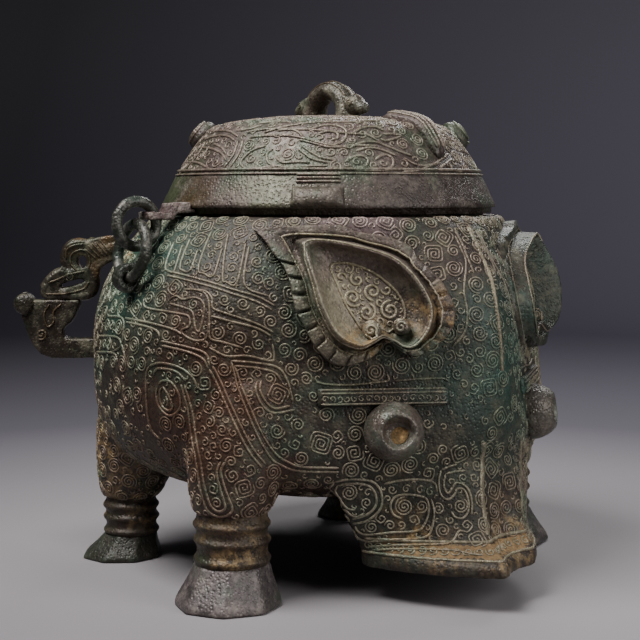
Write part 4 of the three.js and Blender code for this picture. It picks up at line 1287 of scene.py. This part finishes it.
# Handle
# A cast loop at the animal's right rear: a bar bent up from the belly, a scroll at its outer
# corner, and a horned beast's head that bites the bar and grows from the shoulder. It is handled,
# so its edges are round and its patina is the darkest, brown with a little green.
HANDLE_AZIMUTH = math.radians(-130)
HANDLE_FOOT = BELLY_HEIGHT - 8.7
HANDLE_TOP = RIM_HEIGHT - 11.7
HANDLE_REACH = 46
HANDLE_HALF = 6.6
CURL_PLACE = (0.88, 0.44)
CURL_RADIUS = 6.2
CURL_HALF = 8.7
# The neck's patch is brown metal, painted paler and warmer than the rest as painted light where the
# neck faces the key light.
neck_brown_and_painted_light = ("#7a5a30", (-88, -105, 182), 17)
handle_bronze = bronze(
    "handled dark bronze", "#2c2a21", "#3a3026", "#3b4636", "#85806a", [neck_brown_and_painted_light],
    pale_level=0.58, gloss=0.4,
)
handle_thread_bronze = bronze(
    "rubbed handle thread bronze", "#4a4436", "#5c4a34", "#4a5342", "#80775f", gloss=0.42
)
handle_across = polar(HANDLE_AZIMUTH + math.pi / 2, 1, 0)
handle_axes = (polar(HANDLE_AZIMUTH, 1, 0), handle_across, up)


def on_handle(out, rise, side=0.0):
    """A point of the handle from shares of its reach and height, some way off its middle plane."""
    radius, z = BELLY_RADIUS + out * HANDLE_REACH, mix(HANDLE_FOOT, HANDLE_TOP, rise)
    return polar(HANDLE_AZIMUTH, radius, z) + handle_across * side


def plate(name, loops, half):
    """A flat plate of the handle from its outline and its holes, each a closed loop of pairs."""
    sheet = bmesh.new()
    edges = []
    for loop in loops:
        corners = [sheet.verts.new(on_handle(a, b, -half) * MM) for a, b in loop]
        edges += [sheet.edges.new((p, q)) for p, q in zip(corners, corners[1:] + corners[:1])]
    bmesh.ops.triangle_fill(sheet, edges=edges, use_beauty=True)
    raised = bmesh.ops.extrude_face_region(sheet, geom=sheet.faces[:])["geom"]
    raised = [g for g in raised if isinstance(g, bmesh.types.BMVert)]
    shift = (on_handle(0, 0, half) - on_handle(0, 0, -half)) * MM
    bmesh.ops.translate(sheet, verts=raised, vec=shift)
    bmesh.ops.recalc_face_normals(sheet, faces=sheet.faces)
    return from_bmesh(name, sheet)


def oval(a, b, wide, tall, lean=0.0):
    loop = []
    for t in around(20):
        u, v = wide * math.cos(t), tall * math.sin(t)
        c, s = math.cos(lean), math.sin(lean)
        loop.append((a + u * c - v * s, b + u * s + v * c))
    return loop


def ball(name, centre, axes, size):
    """An ellipsoid from three directions and three radii."""
    made = bmesh.new()
    bmesh.ops.create_uvsphere(made, u_segments=24, v_segments=16, radius=1)
    for vertex in made.verts:
        spread = sum((axis * c * r for axis, c, r in zip(axes, vertex.co, size)), Vector())
        vertex.co = (centre + spread) * MM
    bmesh.ops.recalc_face_normals(made, faces=made.faces)
    return from_bmesh(name, made)


def tube(name, path, radii, columns=16, ratio=1.0, across=handle_across):
    """A round bar along a path with a radius at each point, closed at its ends."""
    rings = []
    for i, (p, radius) in enumerate(zip(path, radii)):
        along = (path[min(i + 1, len(path) - 1)] - path[max(i - 1, 0)]).normalized()
        side = (across - along * across.dot(along)).normalized()
        rings.append(ring_about(p, side * ratio, along.cross(side), radius, columns))
    return face_outward(loft(name, rings, path[0], path[-1]))


BAR_OUTLINE = (
    (-0.2, 0), (0.1, 0.005), (0.35, 0), (0.54, 0.005), (0.67, 0.035), (0.76, 0.095), (0.84, 0.2),
    (0.9, 0.31), (0.95, 0.44), (0.88, 0.47), (0.5, 0.475), (0.17, 0.475), (0.17, 0.43),
    (0.25, 0.32), (0.28, 0.29), (0.38, 0.25), (0.39, 0.21), (0.37, 0.165), (0.2, 0.16),
    (-0.05, 0.165), (-0.2, 0.165),
)
HEAD_OUTLINE = (
    (-0.45, 0.8), (-0.28, 0.79), (-0.18, 0.76), (-0.09, 0.72), (-0.06, 0.64), (-0.05, 0.55),
    (0.0, 0.49), (0.1, 0.468), (0.3, 0.47), (0.56, 0.472), (0.66, 0.5), (0.67, 0.54), (0.6, 0.63),
    (0.52, 0.675), (0.45, 0.7), (0.39, 0.75), (0.385, 0.8), (0.36, 0.87), (0.3, 0.925), (0.2, 0.95),
    (0.05, 0.955), (-0.2, 0.985), (-0.45, 0.985),
)
# The jaw, the brow, the lower lip and the neck stand out on the head as rolls: path, radius, ratio.
HEAD_ROLLS = (
    (((0.63, 0.56), (0.56, 0.625), (0.46, 0.68), (0.34, 0.7), (0.2, 0.7)), 3.2, 2.1),
    (((0.37, 0.76), (0.345, 0.86), (0.28, 0.91), (0.17, 0.93), (0.06, 0.91)), 2.9, 2.3),
    (((0.3, 0.51), (0.2, 0.5), (0.08, 0.505), (0.0, 0.55), (-0.02, 0.62), (0.0, 0.7), (0.07, 0.72)),
     3, 2.2),
    (((0.07, 0.9), (-0.06, 0.88), (-0.2, 0.88), (-0.34, 0.89)), 6, 1.15),
)
HANDLE_MARKS = (
    ((0.55, 0.44), (0.62, 0.36), (0.58, 0.26), (0.5, 0.3), (0.5, 0.38), (0.4, 0.44)),
    ((0.6, 0.52), (0.45, 0.52), (0.3, 0.53), (0.12, 0.56), (0.04, 0.62)),
    ((0.56, 0.61), (0.46, 0.63), (0.36, 0.66), (0.2, 0.69), (0.1, 0.7)),
    ((0.1, 0.88), (-0.05, 0.8)), ((0.05, 0.91), (-0.1, 0.81)), ((0.0, 0.93), (-0.15, 0.82)),
    ((-0.05, 0.94), (-0.2, 0.83)), ((-0.1, 0.95), (-0.25, 0.84)),
    ((0.33, 0.8), (0.32, 0.87), (0.24, 0.905), (0.1, 0.92)),
    ((0.05, 0.72), (0.03, 0.79), (0.08, 0.86), (0.17, 0.87), (0.27, 0.83), (0.27, 0.76),
     (0.2, 0.71)),
)
slots = [oval(0.135, 0.775, 0.06, 0.05), oval(0.26, 0.605, 0.2, 0.021, -0.17)]
head_parts = [plate("head", [HEAD_OUTLINE, *slots], HANDLE_HALF - 0.8)]
for path, radius, ratio in HEAD_ROLLS:
    path = curve_through([on_handle(*place) for place in path], 1.5)
    head_parts.append(tube("roll", path, [radius] * len(path), ratio=ratio))
for place in ((0.36, 0.525), (0.29, 0.66)):
    for side in (1, -1):
        head_parts.append(ball("nub", on_handle(*place, side * 5.8), handle_axes, (2.8, 2, 2.6)))
bar = weather(fuse("handle_loop_cast", [plate("bar", [BAR_OUTLINE], HANDLE_HALF)], 1.0, 7), 0.25, 8)
head = weather(fuse("handle_head_cast", head_parts, 0.95, 4), 0.2, 7)
roll = [on_handle(*CURL_PLACE, CURL_HALF * (i / 12 * 2 - 1)) for i in range(13)]
roll_sizes = [CURL_RADIUS * (1 - 0.25 * abs(i / 6 - 1) ** 6) for i in range(13)]
curl = weather(tube("handle_curl_cast", roll, roll_sizes, 32, across=up), 0.2, 6)
handle_surface = surface_of(bar, head, curl)
for piece, name in ((bar, "loop"), (head, "head"), (curl, "curl")):
    finish(piece, "vessel", "green_patina", handle_bronze, f"handle_{name}")
handle_lines = []
for side in (-1, 1):
    for mark in HANDLE_MARKS:
        line = curve_through([on_handle(*place, side * HANDLE_HALF) for place in mark], 1)
        handle_lines.append((dropped(line, handle_surface, 0.1, 2.5), 0.6))
    for *place, size in ((*CURL_PLACE, 4.6), (0.29, 0.66, 2.6), (0.66, 0.2, 3.4)):
        spot, normal = on_handle(*place, side * HANDLE_HALF), handle_across * side
        path = spiral(spot, normal, size, 0.4 * size, side, False, handle_surface, 1.9, 0.12)
        handle_lines.append((path, 0.62))
sweep_threads("handle_threads", handle_lines, "vessel", "green_patina", handle_thread_bronze, 6)

# Chain
# Two cast rings of unlike size join the lid to a lug on the shoulder. The lower ring stands in the
# lug, the upper one hangs level from the lid's tongue. They are loose, worn and thick with patina.
CHAIN_AZIMUTH = math.radians(-96)
WIRE = 3.2
LOWER_RADIUS = 15
UPPER_RADIUS = 12.2
LUG_REACH = 136.182
LUG_HEIGHT = 171
LINK_REACH = 130.238
LINK_HEIGHT = 200.405
chain_bronze = bronze(
    "chain bronze", "#30332b", "#3d3831", "#41544a", "#9a958a", pale_level=0.57, gloss=0.38
)
chain_out = polar(CHAIN_AZIMUTH, 1, 0)
chain_across = polar(CHAIN_AZIMUTH + math.pi / 2, 1, 0)


def chain_ring(name, centre, first, second, radius, seed):
    """A closed ring in the plane of two directions, its wire worn a little uneven."""
    rings = []
    for turn in around(96):
        outward = first * math.cos(turn) + second * math.sin(turn)
        wire = WIRE * (0.96 + 0.04 * noise.noise(outward * 1.7 + Vector((seed, 0, 0))))
        middle = centre + outward * radius
        rings.append(ring_about(middle, outward, first.cross(second), wire, 24))
    made = face_outward(new_object(f"{name}_cast", sum(rings, []), bands(rings, True)))
    finish(weather(made, 0.12, 5), name, "dark_patina", chain_bronze, name)


ring_lean = math.asin((LUG_REACH - LINK_REACH) / (2 * LOWER_RADIUS))
lean_up = up * math.cos(ring_lean) - chain_out * math.sin(ring_lean)
lower_middle = chain_out * LUG_REACH + up * LUG_HEIGHT + lean_up * LOWER_RADIUS
upper_middle = chain_out * LINK_REACH + up * LINK_HEIGHT
chain_ring("ring_lower", lower_middle, chain_across, lean_up, LOWER_RADIUS, 3)
chain_ring("ring_upper", upper_middle, chain_out, up, UPPER_RADIUS, 8)


def rounded_copy(source, voxel, smoothing):
    """A worn copy of a node: its edges rounded and its facets relaxed away."""
    name = f"{source}_cast"
    copy = place_object(name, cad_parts[source].data.copy())
    copy.data.transform(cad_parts[source].matrix_world)
    return fuse(name, [face_outward(copy)], voxel, smoothing)


lug = weather(rounded_copy("chain_lug", 0.7, 6), 0.2, 5)
finish(lug, "vessel", "dark_patina", chain_bronze, "chain_lug")

# Lid
# A separate casting that drops into the mouth on a flange. Above its plain band the dome carries
# broad scrolls in higher threads than the body's, rubbed by hands to a pinkish, paler bronze.
LID_RADIUS = RIM_RADIUS - 4
LID_BOTTOM = RIM_HEIGHT + 3.5
LID_TOP = LID_BOTTOM + 54
BORDER_HEIGHT = 230
BORDER_SHARE = 0.185
FLANGE_RADIUS = RIM_RADIUS - LIP_WIDTH - 2.5
FLANGE_WALL = 4.5
FLANGE_BOTTOM = RIM_HEIGHT - 7
SEAT_WIDTH = 5
SEAT_HEIGHT = RIM_HEIGHT + 0.3
LID_THREAD = 0.85
LID_SIZES = (4, 3.3, 2.7, 2.2, 1.8, 1.4)
LID_SWELL = 1.15
GOLDEN_TURN = 2.39996
LID_LINE = (
    (99, 209), (98.6, 211.5), (94.8, 219), (89.6, 229), (82.5, 240), (76, 249.6), (72, 254),
    (66, 256.9), (51.7, 259.6), (36, 261.1), (20, 262), (0, LID_TOP),
)
lid_tints = (
    ("#6c5c56", (30, -40, 250), 75), ("#5d5b48", (50, -80, 225), 40),
    ("#4a5138", (-50, -75, 222), 42), ("#54452f", (-10, -99, 211), 30),
)
lid_bronze = bronze(
    "rubbed lid bronze", "#3d352f", "#4e423c", "#47513f", "#80746a", lid_tints, gloss=0.44
)
lid_thread_bronze = bronze(
    "rubbed lid thread bronze", "#7e7463", "#7b6a5f", "#6c7661", "#ab9f8d", gloss=0.42
)
lid_line = curve_through([Vector((r, z, 0)) for r, z in LID_LINE], 0.5)


def dome(share, inset=0.0):
    """Radius and height of the lid at a share of the way from its lower edge to the middle."""
    at = share * (len(lid_line) - 1.001)
    here = lid_line[int(at)].lerp(lid_line[int(at) + 1], at % 1)
    return here.x - inset, here.y - inset


under = [dome(i / 40, WALL) for i in range(38, 0, -1)]
section = [(r, z) for r, z in under if r < FLANGE_RADIUS - 6 and z > LID_BOTTOM + 1]
section += [
    (FLANGE_RADIUS - FLANGE_WALL, LID_BOTTOM), (FLANGE_RADIUS - FLANGE_WALL, FLANGE_BOTTOM + 0.4),
    (FLANGE_RADIUS - 4, FLANGE_BOTTOM), (FLANGE_RADIUS - 0.4, FLANGE_BOTTOM),
    (FLANGE_RADIUS, FLANGE_BOTTOM + 0.4), (FLANGE_RADIUS, SEAT_HEIGHT),
    (FLANGE_RADIUS + SEAT_WIDTH, SEAT_HEIGHT), (FLANGE_RADIUS + SEAT_WIDTH, LID_BOTTOM),
    (LID_RADIUS - 0.6, LID_BOTTOM),
]
section += [dome(i / 70) for i in range(69)]
lid_rings = [[polar(a, r, z) for a in around(200)] for r, z in section]
lid = loft("lid_cast", lid_rings, polar(0, 0, LID_TOP - WALL), polar(0, 0, LID_TOP - 0.05))
lid = weather(weather(face_outward(lid), 0.4, 22, 0.45), 0.15, 6)
finish(lid, "lid", "purple_patina", lid_bronze, "lid")

LID_STROKES = """
264,133 290,126 325,122.5 355,122.5; 257.6,136.6 294.4,136.6 324.8,144.2 350.8,148.5; 277,131
311.8,130 346.5,133.4 368,135.5 379,142; 298.8,140 331,147.5 355,145.3 376.8,146.4; 383.3,134.4
396,134.4 400.7,136.6 385.5,141 380,138; 240,131 251,129 262,125.8; 204,134 215.5,131.5 229,131.5
238.5,137; 205,140 216,136.5 228,136.5 235,141; 238.5,140 234,154 223.5,169; 243.5,140 239.5,153
230,168; 266,146 256,149 248,154 241,162 245,168.5 253,168.5; 273,149 267,154 268,162 274,166
288,167.5 328,166; 275,156 279,160.5 284,163 297,162 310,162.5; 298,149 305,154 312,159 328,163;
302,146 312,153 322,158 334,160; 345,162 352,157.5 361,156 368,160 366,166 361,167.5 352,169;
375,160 380,156.5 386.5,155 393,160 392,167 386.5,169; 354,170 378,170.5 400,169; 352,174.5 376,175
398,172; 170,190 186,170 198,155 206,142; 175,193 190,174 202,159 210,146; 177.5,176 196,176
214,175.5 242,171 285,166; 180,181 200,181 220,179.5 246,175.5 283,171; 178,168 188,163 198,163
206,167 212,171; 190,150 200,148 212,149 222,154 226,160; 214,144 222,148 226,154; 247,133 262,130
280,129 296,131 304,138; 250,138 264,135.5 280,134.5 292,137; 258,124 276,122 292,123; 310,130
322,126 336,126 346,131 344,140 334,145 322,144; 318,134 328,131.5 337,133.5 338,138 330,140.5;
356,124 368,121.5 380,122; 352,134 362,128 374,127 384,131; 350,148 360,143 374,142 386,146 400,152
412,156; 356,151 368,148 380,149.5 396,156; 404,158 414,164 426,166 440,163; 402,172 420,170 436,163
448,154; 406,177 424,175 440,168 452,159; 428,130 436,134 440,141; 460,150 470,158 476,170 478,184;
464,147 474,156 481,170 484,185; 442,176 452,170 462,172 466,182 458,190; 447,181 453,176 459,178;
412,182 424,180 436,183 440,190
"""
LID_SPIRALS = """
252,159,5.4 216,163,5 199,186,5.6 222,188,5 245,185,5 267,181,5.6 190,156,4 208,155,4.6 276,141,5
292,143,4 320,138,4 331,152,4.6 300,156,4 357,162,4.2 383,163,4 362,134,4.6 404,164,4.4 416,160,3.6
422,186,5.4 400,186,5.6 378,185,5.6 356,183,5 334,185,5 312,187,5 289,186,5 448,165,4.2 455,181,3
473,174,4.4 432,175,4 391,130,4 345,122,3 318,121,4 300,124,3.6 240,128,4.4 226,125,3.4 254,131,3.4
"""
lid_surface = surface_of(lid)
lid_lines, lid_circles = [], []


def half_turn(p):
    return Vector((-p.x, -p.y, p.z))


for text in LID_STROKES.split(";"):
    stroke = traced(text, lid_surface, 1.3, BORDER_HEIGHT - 2)
    for twin in (stroke, [half_turn(p) for p in stroke]):
        lid_lines.append((dropped(twin, lid_surface, 0.1), LID_THREAD))
for x, y, size in pixels(LID_SPIRALS):
    spot = on_skin(lid_surface, x, y)[0]
    if spot is None or spot.z <= BORDER_HEIGHT - 2:
        continue
    radius = pixel_length(size, spot) * LID_SWELL
    start, hand = draw.uniform(0, 6.28), draw.choice((1, -1))
    for centre in (spot, half_turn(spot)):
        centre, normal, _, _ = lid_surface.find_nearest(centre)
        path = spiral(centre, normal, radius, start, hand, False, lid_surface, 2, 0.05)
        if len(path) > 2:
            lid_lines.append((path, 0.62))
            lid_circles.append((centre, radius))

# Over the muzzle a wedge like an animal's snout lies on the dome, and a coiled knot stands at each
# of two opposite shoulders. They were cast with the lid.
SNOUT_AZIMUTH = math.radians(5)
SNOUT_WIDE = 8.6
SNOUT_NARROW = 5.4
SNOUT_LIFT = 4.2
KNOT_AZIMUTH = math.radians(48)
KNOT_SHARE = 0.385
KNOT_PROFILE = [(9.8, -2), (9.6, 0.8), (8.4, 2.8), (6.4, 4.2), (3.6, 5), (1.2, 5.3)]


def dome_frame(share, azimuth):
    """A place on the dome with its outward normal and the direction across."""
    r0, z0 = dome(share)
    r1, z1 = dome(share + 0.01)
    along = Vector((r1 - r0, z1 - z0)).normalized()
    normal = polar(azimuth, along.y, -along.x)
    return polar(azimuth, r0, z0), normal, polar(azimuth + math.pi / 2, 1, 0)


snout_rings = []
for i in range(21):
    place, normal, across = dome_frame(mix(0.64, 0.25, i / 20), SNOUT_AZIMUTH)
    end = min(1, (min(i, 20 - i) + 0.4) / 3)
    half = mix(SNOUT_WIDE, SNOUT_NARROW, i / 20) * (0.5 + 0.5 * end)
    ring = []
    for t in steps(24):
        a = math.pi * t
        lift = SNOUT_LIFT * math.sin(a) ** 0.6 + 0.28 * math.cos(6 * a)
        ring.append(place + across * half * math.cos(a) + normal * lift * end)
    ring += [place + across * half * (2 * t - 1) - normal * 3 for t in steps(8)]
    snout_rings.append(ring)
snout = weather(strip("lid_snout_cast", snout_rings), 0.15, 8)
finish(snout, "lid", "purple_patina", lid_bronze, "lid_snout")
snout_surface = surface_of(snout)
for offset in (-0.75, -0.3, 0.3, 0.75):
    line = []
    for t in steps(40):
        place, normal, across = dome_frame(mix(0.61, 0.28, t), SNOUT_AZIMUTH)
        line.append(place + across * offset * mix(SNOUT_WIDE, SNOUT_NARROW, t) + normal * 4)
    lid_lines.append((dropped(line, snout_surface, 0.1), 0.7))
for azimuth, name in ((KNOT_AZIMUTH, "front"), (KNOT_AZIMUTH + math.pi, "rear")):
    place, normal, across = dome_frame(KNOT_SHARE, azimuth)
    knot = weather(lathe_on(f"lid_knot_{name}_cast", place, normal, KNOT_PROFILE), 0.3, 6)
    finish(knot, "lid", "dark_patina", lid_bronze, f"lid_knot_{name}")
    path = spiral(place + normal * 4, normal, 8.6, 1.0, 1, False, surface_of(knot), 2.9, 0.2)
    lid_lines.append((path, LID_THREAD))


def open_dome(p):
    """Whether small spirals may lie here, clear of the band, the knob, the snout and the knots."""
    reach = math.hypot(p.x, p.y)
    if p.z < BORDER_HEIGHT + 1.5 or reach < 17:
        return False
    if abs(math.atan2(p.y, p.x) - SNOUT_AZIMUTH) * reach < 11 and p.x > 0:
        return False
    knots = [dome_frame(KNOT_SHARE, KNOT_AZIMUTH + turn)[0] for turn in (0, math.pi)]
    return all((p - knot).length > 11.5 for knot in knots)


dome_places = []
for i in range(15000):
    r, z = dome(0.19 + 0.79 * (1 - (1 - i / 15000) ** 0.62))
    dome_places.append(lid_surface.find_nearest(polar(i * GOLDEN_TURN, r, z))[:2])
lid_fill = filled(dome_places, lid_surface, lid_lines, lid_circles, open_dome, LID_SIZES, 0.65, 5)
lid_lines += [(path, 0.56) for path, _ in lid_fill]
for share, thickness in ((BORDER_SHARE, 0.9), (BORDER_SHARE - 0.022, 0.55)):
    lid_lines.append(([polar(math.tau * t, *dome(share)) for t in steps(360)], thickness))

# The band's thumb tab and the ring's tongue are plain plates, with three short ribs over the tab.
TAB_AZIMUTH = math.radians(-46)
TAB_HALF = 14.6 / LID_RADIUS
TAB_RIB_HALF = 13 / LID_RADIUS
TAB_LIFT = 3.1
tongue_bronze = bronze(
    "crusted tongue bronze", "#5d4c49", "#7c6862", "#59644f", "#c4b8ad", pale_level=0.54, gloss=0.4
)
tab_rings = []
for i in range(31):
    across = i / 15 - 1
    lift = TAB_LIFT * (1 - abs(across) ** 5)
    ring = []
    for share, height in (
        (0.005, -6), (0.1, -6), (0.1, 0), (0.085, lift * 0.55), (0.055, lift), (0.02, lift * 0.9),
        (0.005, lift * 0.4),
    ):
        place, normal, _ = dome_frame(share, TAB_AZIMUTH + across * TAB_HALF)
        ring.append(place + normal * height)
    tab_rings.append(ring)
tab = weather(strip("lid_tab_cast", tab_rings), 0.15, 6)
finish(tab, "lid", "dark_patina", lid_bronze, "lid_tab")
for share in (0.125, 0.142, 0.159):
    turns = [TAB_AZIMUTH + (i / 20 - 1) * TAB_RIB_HALF for i in range(41)]
    lid_lines.append(([dome_frame(share, turn)[0] for turn in turns], 0.75))
tongue = weather(rounded_copy("lid_lug", 0.6, 4), 0.3, 4)
finish(tongue, "lid", "green_patina", tongue_bronze, "lid_lug")
halves = [[], []]
for path, radius in lid_lines:
    if path:
        halves[path[0].y > 0].append((path, radius))
for i, lines in enumerate(halves):
    sweep_threads(f"lid_threads_{i}", lines, "lid", "purple_patina", lid_thread_bronze, 6)

# Knob
# A round arch stands over the lid's middle, with a small snouted head growing from each foot. It is
# cast with the lid and worn smooth by fingers.
KNOB_SHIFT = 2
KNOB_RADIUS = 21
ARCH_RADIUS = KNOB_RADIUS - 6.3
HEAD_LIFT = 5.2
knob_bronze = bronze(
    "finger-worn bronze", "#3c3f35", "#4f453b", "#52614c", "#99927e", pale_level=0.57, gloss=0.38
)
knob_middle = Vector((KNOB_SHIFT, 0, LID_TOP))
knob_axes = (Vector((1, 0, 0)), Vector((0, 1, 0)), up)
arch_path, arch_sizes = [], []
for share in steps(40):
    turn = math.pi * (share * 1.16 - 0.08)
    around_middle = Vector((ARCH_RADIUS * math.cos(turn), 0, ARCH_RADIUS * math.sin(turn)))
    arch_path.append(knob_middle + around_middle)
    arch_sizes.append(5.3 + 0.15 * math.cos(8 * turn) + 0.9 * math.cos(turn) ** 4)
arch = weather(tube("knob_arch_cast", arch_path, arch_sizes, 28, 1.34, knob_axes[1]), 0.2, 6)
finish(arch, "lid", "green_patina", knob_bronze, "knob_arch")
arch_surface = surface_of(arch)
knob_lines = []
for offset in (-4, 0, 4):
    line = [p + (p - knob_middle).normalized() * 4 + knob_axes[1] * offset for p in arch_path[3:-3]]
    knob_lines.append((dropped(line, arch_surface, 0.1), 0.6))

# A head's parts, as name, place ahead, across and up, and three radii; two of them are in pairs.
SKULL = (
    ("skull", (-1, 0, 0.3), (8.4, 6.6, 6.2)), ("snout", (6, 0, -1.4), (4.8, 4.4, 3.8)),
    ("cheek", (1.6, 4.4, 1.4), (2.4, 2, 2.4)), ("ear", (-4.4, 4.6, 3.4), (2.8, 1.7, 2.9)),
    ("cheek", (1.6, -4.4, 1.4), (2.4, 2, 2.4)), ("ear", (-4.4, -4.6, 3.4), (2.8, 1.7, 2.9)),
)
for direction, name in ((1, "front"), (-1, "rear")):
    seat = knob_middle + Vector((direction * (KNOB_RADIUS - 1), 0, HEAD_LIFT))
    skull = []
    for part, (ahead, across, rise), size in SKULL:
        place = seat + Vector((direction * ahead, across, rise))
        skull.append(ball(part, place, knob_axes, size))
    skull = weather(fuse(f"knob_head_{name}_cast", skull, 0.7, 3), 0.15, 4)
    finish(skull, "lid", "green_patina", knob_bronze, f"knob_head_{name}")
    skull_surface = surface_of(skull)
    for side in (1, -1):
        place = seat + Vector((direction * 1.6, side * 7, 1.4))
        centre, normal, _, _ = skull_surface.find_nearest(place)
        path = spiral(centre, normal, 2.3, 0, side, False, skull_surface, 1.7, 0.08)
        knob_lines.append((path, 0.45))
    line = [seat + Vector((direction * mix(-7, 9, t), 0, 7)) for t in steps(20)]
    knob_lines.append((dropped(line, skull_surface, 0.05), 0.5))
sweep_threads("knob_threads", knob_lines, "lid", "green_patina", handle_thread_bronze, 6)
